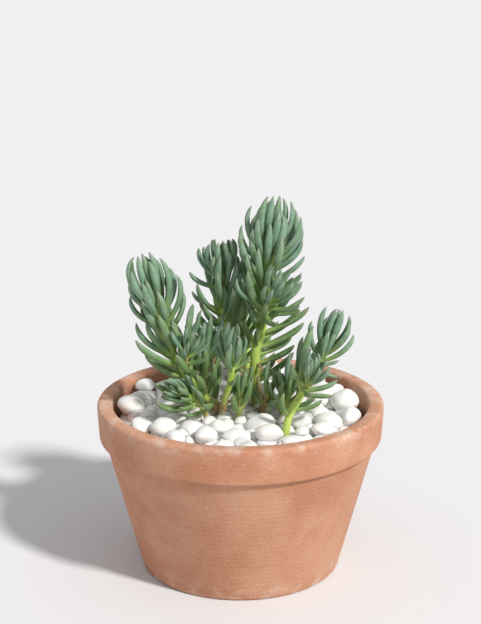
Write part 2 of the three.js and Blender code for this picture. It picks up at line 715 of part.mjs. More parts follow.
// The hole that a stem stands in: it follows the stem out of the soil and up through the bed
function stemHole(shoot, stem) {
  const rings = stemRings(shoot, stem, HOLE_ROOM);
  const outside = rings.findIndex((ring) => ring.every((point) => point.z > BED_TOP + HOLE_OVERSHOOT));
  rings[0].forEach((point) => point.setZ(point.z - GAP));
  const mouth = rings[outside];
  const tip = mouth.reduce((sum, point) => sum.add(point), new THREE.Vector3()).divideScalar(mouth.length);
  return loft(rings.slice(0, outside + 1), tip.setZ(tip.z + HOLE_OVERSHOOT));
}

function turned(profile) {
  const points = profile.map(([radius, height]) => new THREE.Vector2(radius, height));
  return solidOf(new THREE.LatheGeometry(points, POT_SIDES).rotateX(Math.PI / 2));
}

const BAND_BOTTOM = POT_HEIGHT - RIM_BAND;
const pot = turned([
  [DRAIN_RADIUS, FOOT_LIFT],
  [FOOT_RADIUS - FOOT_RING, FOOT_LIFT],
  [FOOT_RADIUS - FOOT_RING, 0],
  [FOOT_RADIUS - FOOT_ROUND, 0],
  [FOOT_RADIUS, FOOT_ROUND],
  [RIM_RADIUS - RIM_STEP, BAND_BOTTOM],
  [RIM_RADIUS - RIM_TAPER - RIM_ROUND, BAND_BOTTOM],
  [RIM_RADIUS - RIM_TAPER, BAND_BOTTOM + RIM_ROUND],
  [RIM_RADIUS, POT_HEIGHT - RIM_ROUND],
  [RIM_RADIUS - RIM_ROUND, POT_HEIGHT],
  [INSIDE_TOP + RIM_ROUND, POT_HEIGHT],
  [INSIDE_TOP, POT_HEIGHT - RIM_ROUND],
  [INSIDE_TOP, BAND_BOTTOM],
  [INSIDE_FOOT, FLOOR_TOP],
  [DRAIN_RADIUS, FLOOR_TOP],
  [DRAIN_RADIUS, FOOT_LIFT],
]);

const rooted = SHOOTS.map((shoot, index) => [shoot, stems[index]]).filter(([shoot]) => shoot.root);
const holes = wasm.Manifold.union(rooted.map(([shoot, stem]) => stemHole(shoot, stem)));

const soil = turned([
  [0, FLOOR_TOP + GAP],
  [INSIDE_FOOT - GAP, FLOOR_TOP + GAP],
  [INSIDE_TOP - GAP, BAND_BOTTOM],
  [INSIDE_TOP - GAP, SOIL_TOP],
  [0, SOIL_TOP],
]).subtract(holes);

const BED_RADIUS = INSIDE_TOP - 2 * GAP;
const bed = turned([
  [0, SOIL_TOP + GAP],
  [BED_RADIUS, SOIL_TOP + GAP],
  [BED_RADIUS, BED_TOP - BED_EDGE],
  [BED_RADIUS - BED_EDGE, BED_TOP],
  [0, BED_TOP],
]).subtract(holes);

const pebbleSolids = pebbles.map(({ x, y, z, half, turn }) => {
  const pebble = new THREE.SphereGeometry(1, PEBBLE_SIDES, PEBBLE_LAYERS)
    .rotateX(Math.PI / 2)
    .scale(half, half * PEBBLE_BREADTH, half * PEBBLE_HEIGHT)
    .rotateZ(degrees(turn))
    .translate(x, y, z);
  return solidOf(pebble);
});

// Assembly
const plant = new THREE.Group();
plant.name = "potted_blue_spruce_sedum";
plant.add(meshOf(pot, "pot", CLAY, 0.85));
plant.add(meshOf(soil, "soil", COMPOST, 0.95));
plant.add(meshOf(wasm.Manifold.union([bed, ...pebbleSolids]), "pebbles", WHITE_STONE, 0.6));
for (const name of new Set(SHOOTS.map((shoot) => shoot.node))) {
  const solids = SHOOTS.flatMap((shoot, index) => {
    if (shoot.node !== name) return [];
    return [stemSolid(shoot, stems[index]), ...leaves[index].map(leafSolid)];
  });
  plant.add(meshOf(wasm.Manifold.union(solids), name, BLUE_GREEN, 0.55));
}

export default plant;
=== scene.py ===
import math

import bmesh
import bpy
import numpy as np
from mathutils import Matrix, Vector, noise


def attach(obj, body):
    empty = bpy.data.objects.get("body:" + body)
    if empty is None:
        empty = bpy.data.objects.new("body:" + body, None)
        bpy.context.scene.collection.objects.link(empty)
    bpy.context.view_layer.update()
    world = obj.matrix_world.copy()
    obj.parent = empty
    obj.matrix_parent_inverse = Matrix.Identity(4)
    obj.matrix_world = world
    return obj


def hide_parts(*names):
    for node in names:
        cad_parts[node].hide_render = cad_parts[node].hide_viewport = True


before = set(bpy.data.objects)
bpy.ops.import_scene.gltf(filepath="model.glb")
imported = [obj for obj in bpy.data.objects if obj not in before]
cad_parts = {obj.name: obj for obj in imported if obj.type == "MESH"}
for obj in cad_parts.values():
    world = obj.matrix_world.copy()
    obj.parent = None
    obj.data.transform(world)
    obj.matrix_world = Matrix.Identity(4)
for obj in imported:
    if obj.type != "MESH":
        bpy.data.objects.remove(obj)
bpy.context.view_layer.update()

MM = 0.001


# The pot: a plain half pot of red clay, pressed in one piece, fired and left unglazed, with one drain hole.
# Its wall, collar and foot ring are one turned profile spun round the upright axis, its edges sponged round.
# Each corner is its radius, its height and how far it is rounded, in millimetres.
POT_CORNERS = [
    (6, 1.5, 0.6), (35, 1.5, 0.6), (35, 0, 0.9), (42, 0, 1.4), (57, 57, 1.0), (59.2, 57, 1.5), (60, 72, 1.9),
    (53.4, 72, 1.9), (53.4, 57, 6), (38, 6.5, 3), (6, 6.5, 0.6),
]
POT_TURNS = 112
CORNER_STEPS = 4
LONGEST_ROUNDING = 0.45
CLAY = (0.47, 0.205, 0.115, 1)
CLAY_PALE = (0.56, 0.29, 0.18, 1)
CLAY_DARK = (0.29, 0.115, 0.062, 1)
LIME = (0.70, 0.60, 0.51, 1)
MOTTLE_SCALE, GRIT_SCALE, LIME_SCALE = 34, 1500, 120
# Heights in metres between which the lime comes in, towards the rim and towards the foot
LIME_AT_RIM = (0.066, 0.0725)
LIME_AT_FOOT = (0.012, 0.0)
TURNING_LINES = 150
TURNING_DEPTH = 0.16
CLAY_RELIEF = 0.00022


def new_material(name, roughness):
    """A material with its shader, node list and link list ready to use."""
    material = bpy.data.materials.new(name)
    material.use_nodes = True
    shader = material.node_tree.nodes["Principled BSDF"]
    shader.inputs["Roughness"].default_value = roughness
    return material, shader, material.node_tree.nodes, material.node_tree.links


def put(links, socket, value):
    """Link a socket to another, or give it a plain value."""
    if hasattr(value, "is_linked"):
        links.new(value, socket)
    else:
        socket.default_value = value


def noise_of(nodes, links, source, scale, detail=3.0, roughness=0.55):
    """A cloudy pattern between 0 and 1."""
    texture = nodes.new("ShaderNodeTexNoise")
    texture.inputs["Scale"].default_value = scale
    texture.inputs["Detail"].default_value = detail
    texture.inputs["Roughness"].default_value = roughness
    links.new(source, texture.inputs["Vector"])
    return texture.outputs["Fac"]


def mixed(nodes, links, factor, first, second, blend="MIX"):
    """The colour between two colours or sockets, by a factor that is a number or a socket."""
    mix = nodes.new("ShaderNodeMix")
    mix.data_type = "RGBA"
    mix.blend_type = blend
    colours = [socket for socket in mix.inputs if socket.type == "RGBA"]
    put(links, mix.inputs[0], factor)
    put(links, colours[0], first)
    put(links, colours[1], second)
    return next(socket for socket in mix.outputs if socket.type == "RGBA")


def spread_between(nodes, links, value, low, high, to_low=0.0, to_high=1.0):
    """A value stretched from one range to another and held there."""
    stretch = nodes.new("ShaderNodeMapRange")
    stretch.interpolation_type = "SMOOTHSTEP"
    put(links, stretch.inputs["Value"], value)
    for name, number in (("From Min", low), ("From Max", high), ("To Min", to_low), ("To Max", to_high)):
        stretch.inputs[name].default_value = number
    return stretch.outputs["Result"]


def worked_out(nodes, links, operation, first, second):
    """Two values or sockets put through one step of arithmetic."""
    step = nodes.new("ShaderNodeMath")
    step.operation = operation
    put(links, step.inputs[0], first)
    put(links, step.inputs[1], second)
    return step.outputs[0]


def raised(nodes, links, height, distance, shader, strength=1.0):
    """The surface roughened by a height, distance metres deep."""
    bump = nodes.new("ShaderNodeBump")
    bump.inputs["Strength"].default_value = strength
    bump.inputs["Distance"].default_value = distance
    links.new(height, bump.inputs["Height"])
    links.new(bump.outputs["Normal"], shader.inputs["Normal"])


def fired_clay():
    """Unglazed red clay: mottled, with fine grit, faint turning lines and a little lime at the rim and foot."""
    material, shader, nodes, links = new_material("unglazed_clay", 0.86)
    place = nodes.new("ShaderNodeTexCoord").outputs["Object"]
    mottle = noise_of(nodes, links, place, MOTTLE_SCALE, 5, 0.6)
    grit = noise_of(nodes, links, place, GRIT_SCALE, 2)
    height = nodes.new("ShaderNodeSeparateXYZ")
    links.new(place, height.inputs[0])
    colour = mixed(nodes, links, spread_between(nodes, links, mottle, 0.36, 0.66), CLAY, CLAY_PALE)
    colour = mixed(nodes, links, spread_between(nodes, links, grit, 0.60, 0.72, 0, 0.45), colour, CLAY_DARK)
    colour = mixed(nodes, links, spread_between(nodes, links, grit, 0.40, 0.28, 0, 0.35), colour, LIME)
    edge = noise_of(nodes, links, place, LIME_SCALE, 4, 0.7)
    near_rim = spread_between(nodes, links, height.outputs["Z"], *LIME_AT_RIM)
    near_foot = spread_between(nodes, links, height.outputs["Z"], *LIME_AT_FOOT)
    bloom = worked_out(nodes, links, "MAXIMUM", near_rim, near_foot)
    bloom = worked_out(nodes, links, "MULTIPLY", bloom, spread_between(nodes, links, edge, 0.42, 0.68, 0, 0.5))
    links.new(mixed(nodes, links, bloom, colour, LIME), shader.inputs["Base Color"])
    rings = nodes.new("ShaderNodeTexWave")
    rings.bands_direction = "Z"
    rings.inputs["Scale"].default_value = TURNING_LINES
    rings.inputs["Distortion"].default_value = 1.2
    rings.inputs["Detail"].default_value = 2
    links.new(place, rings.inputs["Vector"])
    faint = worked_out(nodes, links, "MULTIPLY", rings.outputs["Fac"], TURNING_DEPTH)
    relief = worked_out(nodes, links, "ADD", faint, grit)
    raised(nodes, links, relief, CLAY_RELIEF, shader)
    return material


def rounded_profile(corners):
    """A closed outline whose corners are short curves, each one starting its rounding before the corner."""
    outline = []
    for i, (across, up, rounding) in enumerate(corners):
        here = Vector((across, 0, up))
        before = Vector((corners[i - 1][0], 0, corners[i - 1][1])) - here
        after_corner = corners[(i + 1) % len(corners)]
        after = Vector((after_corner[0], 0, after_corner[1])) - here
        start = here + before.normalized() * min(rounding, before.length * LONGEST_ROUNDING)
        end = here + after.normalized() * min(rounding, after.length * LONGEST_ROUNDING)
        for step in range(CORNER_STEPS + 1):
            share = step / CORNER_STEPS
            outline.append(start.lerp(here, share).lerp(here.lerp(end, share), share) * MM)
    return outline


def spun(outline, turns, closed=True):
    """An outline spun right round the upright axis."""
    bm = bmesh.new()
    corners = [bm.verts.new(point) for point in outline]
    edges = [bm.edges.new(pair) for pair in zip(corners, corners[1:])]
    if closed:
        edges.append(bm.edges.new((corners[-1], corners[0])))
    bmesh.ops.spin(
        bm, geom=corners + edges, cent=(0, 0, 0), axis=(0, 0, 1), angle=math.tau, steps=turns, use_merge=True,
        use_duplicate=False,
    )
    bmesh.ops.remove_doubles(bm, verts=bm.verts, dist=1e-6)
    bmesh.ops.recalc_face_normals(bm, faces=bm.faces)
    return bm


def shown_piece(name, bm, materials, node):
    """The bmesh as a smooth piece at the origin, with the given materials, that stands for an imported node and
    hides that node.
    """
    mesh = bpy.data.meshes.new(name)
    bm.to_mesh(mesh)
    bm.free()
    mesh.shade_smooth()
    for material in materials:
        mesh.materials.append(material)
    piece = bpy.data.objects.new(name, mesh)
    bpy.context.scene.collection.objects.link(piece)
    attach(piece, "root")
    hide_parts(node)
    return piece


shown_piece("clay_pot", spun(rounded_profile(POT_CORNERS), POT_TURNS), [fired_clay()], "pot")


# The soil: dark crumbly potting compost, filled in by hand up to a little under the collar. Only its underside
# shows, through the drain hole, but its top is finished as well, with the crumbs standing up.
SOIL_OUTLINE = [(0, 6.8), (37.7, 6.8), (53.1, 57), (53.1, 59), (0, 59)]
SOIL_TURNS = 64
SOIL_SURFACE = 58.9
SPOKE_LENGTH = 0.03
SPOKE_CUTS = 9
CRUMB = 0.7
CRUMB_REACH = 52
CRUMB_FINENESS = 260
SOIL_DARK = (0.030, 0.020, 0.013, 1)
SOIL_BROWN = (0.095, 0.060, 0.038, 1)


def compost():
    """Dark brown compost, crumbly and fibrous."""
    material, shader, nodes, links = new_material("potting_compost", 0.95)
    place = nodes.new("ShaderNodeTexCoord").outputs["Object"]
    crumbs = noise_of(nodes, links, place, 420, 5, 0.7)
    fibre = noise_of(nodes, links, place, 90, 3)
    colour = mixed(nodes, links, spread_between(nodes, links, crumbs, 0.35, 0.65), SOIL_DARK, SOIL_BROWN)
    links.new(mixed(nodes, links, fibre, colour, SOIL_DARK), shader.inputs["Base Color"])
    raised(nodes, links, crumbs, 0.0012, shader)
    return material


soil = spun([Vector((across, 0, up)) * MM for across, up in SOIL_OUTLINE], SOIL_TURNS, closed=False)
bmesh.ops.remove_doubles(soil, verts=soil.verts, dist=1e-5)
top_spokes = [
    edge for edge in soil.edges
    if all(vert.co.z > SOIL_SURFACE * MM for vert in edge.verts) and edge.calc_length() > SPOKE_LENGTH
]
bmesh.ops.subdivide_edges(soil, edges=top_spokes, cuts=SPOKE_CUTS)
for vert in soil.verts:
    if vert.co.z > SOIL_SURFACE * MM and vert.co.xy.length < CRUMB_REACH * MM:
        vert.co.z += CRUMB * MM * noise.noise(vert.co * CRUMB_FINENESS)
shown_piece("potting_soil", soil, [compost()], "soil")


# The stems' courses: fleshy upright stems, grown from cuttings pushed into the soil, some of them branched.
# They are worked out here, because the pebbles and the leaves keep clear of them, and are grown further down.
STEM_FOOT = 46
STEM_RISE = 63.5
CURVE_STEPS = 8
CURVE_TIMING = 0.25
BALL_STEP = 1.5
GOLDEN_TURN = 180 * (3 - math.sqrt(5))
DICE_START, DICE_STEP, DICE_LIMIT = 48271, 16807, 2147483647

# root: where the stem enters the pebbles (a branch has none: it starts inside its parent).
# path: points that it grows through. radius: at its foot and tip. bare: its length below the first leaf.
# leaves: how many follow the spiral, from turn degrees on.
# long, spread, curl: a leaf's length, its angle to the stem and how far it bends back towards it, for the
# lowest, middle and top leaves of the spiral.
# clear, clear_to: below this share of the leafy length, the spiral leaves out whatever points within so many
# degrees of left or right, where the leaves seen in profile stand.
# seen: the leaves seen in profile, as distance along the stem, tip, curl.
SHOOTS = [
    # Tall stem, feathered on both sides, with the egg-shaped head
    {
        "node": "main_shoot", "root": [7.2, 2], "radius": [2.4, 1.7], "seed": 11,
        "path": [
            [6.1, 1, 81], [6.4, 0, 93.5], [8.9, 0, 103.5], [9.7, 1, 114.5], [10.1, 3, 126],
            [11.5, 4, 136],
        ],
        "bare": 37, "leaves": 40, "turn": 80, "clear": 34, "clear_to": 0.82,
        "long": [22, 24, 20], "spread": [58, 46, 36], "curl": [26, 44, 68],
        "seen": [
            [24, 23, -2, 96, 20], [31, 27, 0, 105, 20], [28, 22, 6, 97, 20], [38, 29, -1, 112, 20],
            [35, 25, 5, 109, 20], [44, 27, 0, 116, 16], [47, 26, 5, 120, 18], [50, 26, -1, 123, 20],
            [53, 26, 5, 125, 18], [59, 27, 2, 133, 30], [16, 23, 4, 91, 16], [18, 15, 4, 88, 18],
            [63, 26, 1, 140, 48], [65, 26, 4, 145, 54], [67, 25, 2, 150, 60], [69, 23, 7, 152, 62],
            [71, 21, 4, 156, 60], [71, 18, 6, 157, 45], [71, 16, 0, 159, 28], [71, 13, -1, 159, 35],
            [70, 11, 1, 159, 70], [68, 4, 6, 154, 62], [68, 6, 11, 149, 50], [66, 0, 5, 146, 62],
            [63, 4, -4, 143, 44], [61, 0, 6, 138, 67], [55, 2, -4, 136, 44], [50, -2, -2, 125, 80],
            [20, -4, -5, 75, -90], [44, 2, 3, 115, 42], [33, 1, 5, 104, 29], [8, 4, -3, 82, 25],
        ],
    },
    # Its side rosette, facing the viewer
    {
        "node": "main_shoot", "radius": [1.5, 1.1], "seed": 12,
        "path": [[8.8, 0, 108], [9.6, -5, 111.5], [11.6, -8.5, 116.5], [13, -9.5, 119]],
        "bare": 3.5, "leaves": 13, "turn": 100, "clear": 0, "clear_to": 0.9,
        "long": [16, 17, 14], "spread": [66, 54, 30], "curl": [30, 44, 46],
    },
    # Stem behind, left of the tall one
    {
        "node": "back_shoot", "root": [-1.6, 16], "radius": [1.9, 1.3], "seed": 21,
        "path": [
            [-3.6, 16, 79.5], [-6.2, 15, 95.4], [-7.8, 14, 108.9], [-6.9, 13, 116],
            [-7.2, 12, 120],
        ],
        "bare": 20, "leaves": 34, "turn": 40, "clear": 30, "clear_to": 0.9,
        "long": [20, 22, 19], "spread": [58, 48, 32], "curl": [30, 42, 56],
        "seen": [
            [57, -18, 14, 134, 69], [57, -16, 17, 134, 66], [54, -22, 12, 124, 58], [44, -21, 14, 115, 47],
            [37, -18, 20, 109, 40], [57, -11, 10, 139, 58], [56, -7, 7, 139, 24], [57, -3, 11, 139, 58],
            [52, -1, 16, 125, 54], [57, -6, 14, 136, 24],
        ],
    },
    # Long stem leaning left
    {
        "node": "left_shoot", "root": [-7.6, -3], "radius": [1.9, 1.3], "seed": 31,
        "path": [
            [-9.6, -5, 70.6], [-13.6, -8.6, 75.2], [-18.7, -11, 81.5], [-23.9, -12, 89.5], [-28.7, -11, 99.1],
            [-32.4, -11, 108.5], [-34.4, -11, 116],
        ],
        "bare": 11, "leaves": 40, "turn": 200, "clear": 40, "clear_to": 0.86,
        "long": [19, 24, 21], "spread": [54, 44, 36], "curl": [22, 44, 66],
        "seen": [
            [58, -45, -10, 126, 69], [60, -43, -12, 137, 84], [60, -41, -16, 138, 60], [60, -39, -16, 139, 33],
            [60, -36, -13, 139, 27], [56, -32, -14, 137, 66], [56, -28, -11, 132, 60], [52, -25, -14, 130, 60],
            [48, -23, -9, 122, 48], [52, -45, -11, 120, 69], [48, -41, -8, 114, 45], [39, -43, -12, 109, 57],
            [28, -39, -14, 98, 48], [36, -37, -4, 99, 33], [56, -38, -17, 130, 48],
        ],
    },
    # Small branch on its right side
    {
        "node": "left_shoot", "radius": [1.4, 1.1], "seed": 32,
        "path": [[-22.5, -12.3, 87.2], [-22.6, -16, 93], [-21.2, -18, 98]],
        "bare": 3, "leaves": 11, "turn": 10, "clear": 20, "clear_to": 0.9,
        "long": [13, 13, 11], "spread": [60, 46, 12], "curl": [22, 20, 10],
        "seen": [
            [12, -19, -18, 119, 27], [11, -17, -18, 112, 38], [10, -14, -18, 106, 40], [12, -21, -22, 111, 18],
            [12, -28, -21, 108, 22],
        ],
    },
    # Between the left stem and the front one
    {
        "node": "inner_left_shoot", "root": [-10.6, 2], "radius": [1.7, 1.2], "seed": 41,
        "path": [[-15.8, 3, 74], [-17.4, 4, 79.9], [-15.7, 5, 88.4], [-14, 5, 93]],
        "bare": 5, "leaves": 26, "turn": 10, "clear": 16, "clear_to": 0.9,
        "long": [18, 20, 18], "spread": [60, 46, 28], "curl": [30, 42, 44],
        "seen": [
            [21, -15, 4, 98, 38], [20, -12, 2, 108, 27], [18, -11, 7, 99, 27], [18, -21, 7, 87, 27],
        ],
    },
    # Small head on a bare stem in front
    {
        "node": "front_shoot", "root": [-8.2, -9.6], "radius": [1.6, 1.2], "seed": 51,
        "path": [[-7.4, -10.4, 70.6], [-6.2, -13, 77], [-4.4, -16, 83.6], [-3.6, -19, 90.6], [-3.4, -20, 93.5]],
        "bare": 23, "leaves": 10, "turn": 10, "clear": 30, "clear_to": 0.9,
        "long": [13, 17, 18], "spread": [58, 46, 26], "curl": [28, 44, 44],
        "seen": [
            [30, -8, -21, 110, 57], [30, -5, -24, 113, 27], [30, -1, -22, 112, 28], [30, 2, -20, 106, 60],
            [30, -3, -27, 112, 27], [30, -10, -17, 101, 45], [30, 4, -18, 96, 27],
        ],
    },
    # Leaning stem at the right
    {
        "node": "right_shoot", "root": [17.6, -30.4], "radius": [1.8, 1.3], "seed": 61,
        "path": [
            [19.3, -29.4, 74.6], [22.3, -28, 80], [25.3, -26, 84.6], [28.3, -23, 87.9], [31.2, -20, 92.2],
            [33.6, -18, 97], [34.6, -18, 100],
        ],
        "bare": 26, "leaves": 12, "turn": 10, "clear": 50, "clear_to": 0.9,
        "long": [14, 17, 17], "spread": [62, 50, 28], "curl": [28, 46, 46],
        "seen": [
            [22, 28.5, -22, 111, 18], [41, 34, -19, 118, 51], [42, 38, -18, 117, 30], [42, 41, -22, 117, 30],
            [43, 44, -19, 114, 52], [38, 46, -19, 106, 60], [38, 28, -19, 112, 47], [42, 40, -16, 116, 24],
            [36, 40, -17, 94, -8], [33, 39, -21, 88, -24], [24, 39, -27, 89, 32], [22, 37, -29, 83, -6],
            [15, 33, -30, 82, 34], [12, 17, -35, 87, 76],
        ],
    },
    # Its lower rosette
    {
        "node": "right_shoot", "radius": [1.3, 1], "seed": 64,
        "path": [[25.3, -26, 84.6], [26.2, -28.6, 88], [26.9, -30.4, 92]],
        "bare": 2, "leaves": 10, "turn": 10, "clear": 0, "clear_to": 0.9,
        "long": [14, 15, 13], "spread": [48, 38, 20], "curl": [26, 34, 30],
        "seen": [
            [9, 34, -35, 100, 27], [9, 27, -37, 104, 27],
        ],
    },
    # Short stem in the shade of the tall one
    {
        "node": "small_right_shoot", "root": [17.2, -12], "radius": [1.4, 1.1], "seed": 71,
        "path": [[17.5, -12, 70], [18.7, -12, 75], [19.4, -12, 79]],
        "bare": 5, "leaves": 14, "turn": 10, "clear": 0, "clear_to": 0.9,
        "long": [14, 15, 13], "spread": [60, 44, 14], "curl": [22, 24, 16],
        "seen": [
            [16, 20, -14, 97, 18],
        ],
    },
    # Short stem with two long upright leaves
    {
        "node": "thin_right_shoot", "root": [22.9, -6], "radius": [1.4, 1.1], "seed": 81,
        "path": [[23, -6, 70], [24.5, -6, 78], [25.4, -6, 82]],
        "bare": 10, "leaves": 8, "turn": 10, "clear": 0, "clear_to": 0.9,
        "long": [13, 14, 14], "spread": [50, 30, 6], "curl": [18, 14, 6],
        "seen": [
            [18, 25, -8, 102, 18], [18, 27, -5, 100, 18],
        ],
    },
    # Low stem at the front left
    {
        "node": "low_left_shoot", "root": [-13.6, -14.6], "radius": [1.3, 1], "seed": 91,
        "path": [[-14.6, -15.2, 72], [-17.6, -17.4, 76.4], [-21, -20, 80.4], [-24, -22.4, 83]],
        "bare": 5, "leaves": 13, "turn": 10, "clear": 0, "clear_to": 0.9,
        "long": [12, 13, 11], "spread": [64, 50, 22], "curl": [24, 30, 28],
        "seen": [
            [13, -34.5, -27, 79.6, 44], [15, -31, -26, 88, 24], [17, -27.6, -22, 88, 20],
            [16, -32, -28, 84, 24], [14, -24, -19, 88, 20],
        ],
    },
    # Short stem with small shrivelled leaves
    {
        "node": "withered_shoot", "root": [8.8, -10], "radius": [1.4, 1.1], "seed": 101,
        "path": [[9.7, -11, 73], [11.3, -12, 78]],
        "bare": 4, "leaves": 12, "turn": 60, "clear": 0, "clear_to": 0.9,
        "long": [14, 15, 14], "spread": [62, 46, 18], "curl": [18, 20, 16],
    },
    # Dark stem at the back
    {
        "node": "rear_shoot", "root": [2.8, 29], "radius": [1.8, 1.3], "seed": 111,
        "path": [[2.6, 29, 72], [2.4, 29, 86], [0.6, 28.5, 98.3], [-0.2, 28, 106]],
        "bare": 8, "leaves": 36, "turn": 10, "clear": 0, "clear_to": 0.9,
        "long": [17, 18, 14], "spread": [64, 52, 12], "curl": [24, 30, 12],
    },
    # Low stem at the back
    {
        "node": "rear_left_shoot", "root": [-12, 24], "radius": [1.5, 1.2], "seed": 121,
        "path": [[-17.7, 28, 75], [-19.4, 28.5, 82]],
        "bare": 9, "leaves": 12, "turn": 10, "clear": 0, "clear_to": 0.9,
        "long": [14, 14, 12], "spread": [62, 48, 14], "curl": [20, 24, 12],
    },
    # Low stem in front of the tall one
    {
        "node": "low_middle_shoot", "root": [-0.8, -14], "radius": [1.4, 1.1], "seed": 131,
        "path": [[-0.6, -14.4, 70], [0, -15, 75], [0.6, -15.4, 79.5]],
        "bare": 6, "leaves": 11, "turn": 200, "clear": 0, "clear_to": 0.9,
        "long": [13, 14, 12], "spread": [48, 34, 16], "curl": [30, 30, 24],
        "seen": [
            [14, -2, -19, 89, 19],
        ],
    },
]


def dice(seed):
    """Repeatable random numbers between 0 and 1."""
    state = seed * DICE_START % DICE_LIMIT
    while True:
        state = state * DICE_STEP % DICE_LIMIT
        yield state / DICE_LIMIT


def unit(vector):
    """A direction: the vector brought to a length of one."""
    return vector / math.sqrt(float(vector @ vector))


def stem_line(shoot):
    """The smooth curve of a stem as short straight runs, and each point's distance from where it rises."""
    points = [np.array(point, float) for point in shoot["path"]]
    if "root" in shoot:
        points = [np.array([*shoot["root"], height], float) for height in (STEM_FOOT, STEM_RISE)] + points
    around = [2 * points[0] - points[1], *points, 2 * points[-1] - points[-2]]
    line = []
    for a, b, c, d in zip(around, around[1:], around[2:], around[3:]):
        pairs = ((a, b), (b, c), (c, d))
        ab, bc, cd = (float((end - start) @ (end - start)) ** CURVE_TIMING for start, end in pairs)
        leave = ((b - a) / ab - (c - a) / (ab + bc) + (c - b) / bc) * bc
        arrive = ((c - b) / bc - (d - b) / (bc + cd) + (d - c) / cd) * bc
        for step in range(CURVE_STEPS):
            t = step / CURVE_STEPS
            bulge, swing = 3 * (c - b) - 2 * leave - arrive, 2 * (b - c) + leave + arrive
            line.append(b + leave * t + bulge * t * t + swing * t**3)
    line = np.array([*line, points[-1]])
    run = np.concatenate([[0], np.cumsum(np.linalg.norm(np.diff(line, axis=0), axis=1))])
    return line, run - (STEM_RISE - STEM_FOOT if "root" in shoot else 0)


def on_stem(stem, distance):
    """The point and direction of a stem at a distance along it."""
    line, run = stem
    i = min(max(int(np.searchsorted(run, distance, side="right")) - 1, 0), len(run) - 2)
    share = (distance - run[i]) / (run[i + 1] - run[i])
    direction = line[min(i + 2, len(run) - 1)] - line[max(i - 1, 0)]
    return line[i] + (line[i + 1] - line[i]) * share, unit(direction)


def stem_radius(shoot, stem, distance):
    """A stem's radius at a distance along it, narrowing evenly from its foot to its tip."""
    foot, tip = shoot["radius"]
    return foot + (tip - foot) * max(0, distance) / stem[1][-1]


stems = [stem_line(shoot) for shoot in SHOOTS]
NODE_NAMES = list(dict.fromkeys(shoot["node"] for shoot in SHOOTS))

# What a leaf keeps clear of is held as balls: their middles, radii and stems, first along the stems themselves
ball_rows = []
for shoot, stem in zip(SHOOTS, stems):
    distance = stem[1][0]
    while distance <= stem[1][-1]:
        owner = NODE_NAMES.index(shoot["node"])
        ball_rows.append([*on_stem(stem, distance)[0], stem_radius(shoot, stem, distance), owner, 0])
        distance += BALL_STEP


# The pebbles: smooth white river stones, tipped in loose by hand round the stems up to the height of the rim,
# over a second layer of them in fine white grit. Each layer is a sunflower spread, and the top one, with a few
# small stones round each stem, is shaken apart until they hardly cross.
GAP = 0.3
BED_TOP = 68.4
PEBBLE_COUNT = 50
PEBBLE_HALF = (5.1, 7.8)
PEBBLE_BREADTH = 0.86
PEBBLE_HEIGHT = 0.62
PEBBLE_MIDDLE = 68.8
PEBBLE_LOWEST = 67.2
PEBBLE_PROUD = 0.4
PEBBLE_FIELD = 52.6
PEBBLES_PER_STEM = 2
SMALL_PEBBLE_HALF = (3.2, 4.4)
SMALLEST_PEBBLE = 2.4
PEBBLE_SEED = 77
PEBBLE_TURN_SCATTER = 20
PEBBLE_HEIGHT_SCATTER = 3
SMALL_TURN_SCATTER = 40
SMALL_MIDDLE = (-0.4, 1.5)
SHAKES = 40
HEIGHT_COUNTS = 1.5
PEBBLE_CROSSING = 0.97
PUSH = 0.5
PUSH_UP = 0.4
STEM_CROSSING = 0.95
STEM_ROOM = 0.5
WEAR_DOWN = 0.92
UNDER_COUNT = 92
UNDER_HALF = (4.4, 6.2)
UNDER_MIDDLE = 66.0
UNDER_TURN = 40
UNDER_SEED = 5
GRIT_OUTLINE = [(0, 59.3), (52.8, 59.3), (52.8, 66.8), (0, 66.8)]
STONE_FLATS = 5
FLAT_WEAR = 0.82
FLAT_TILT = 1.6
FLAT_DEPTH, FLAT_DEPTH_SCATTER = 0.58, 0.26
BROAD_DENTS, FINE_DENTS = 0.9, 2.1
STONE_LEAN = 16
STONE_SCATTER = (0.020, 0.019, 0.018)
STONE_WHITE = (0.81, 0.805, 0.79, 1)
STONE_GREY = (0.73, 0.73, 0.725, 1)
STONE_CREAM = (0.79, 0.77, 0.735, 1)


def highest(half):
    """A pebble's highest middle that leaves it well sunk among the others."""
    return BED_TOP + PEBBLE_PROUD * half * PEBBLE_HEIGHT


def push_apart(a, b):
    """Two pebbles that cross are moved apart, the smaller one further."""
    x, y, z = b["x"] - a["x"], b["y"] - a["y"], (b["z"] - a["z"]) * HEIGHT_COUNTS
    wanted = (a["half"] + b["half"]) * PEBBLE_CROSSING
    far = math.sqrt(x * x + y * y + z * z)
    if far >= wanted:
        return
    push = (wanted - far) / far * PUSH
    whole = a["half"] + b["half"]
    for stone, share, way in ((a, b["half"] / whole, -1), (b, a["half"] / whole, 1)):
        stone["x"] += way * x * push * share
        stone["y"] += way * y * push * share
        stone["z"] += way * z * push * share * PUSH_UP


def push_off(pebble, shoot):
    """A pebble that stands in a stem's way is moved off it."""
    x, y = pebble["x"] - shoot["root"][0], pebble["y"] - shoot["root"][1]
    far = math.sqrt(x * x + y * y)
    wanted = pebble["half"] * STEM_CROSSING + shoot["radius"][0] + STEM_ROOM
    if far < wanted:
        pebble["x"] += x / far * (wanted - far)
        pebble["y"] += y / far * (wanted - far)


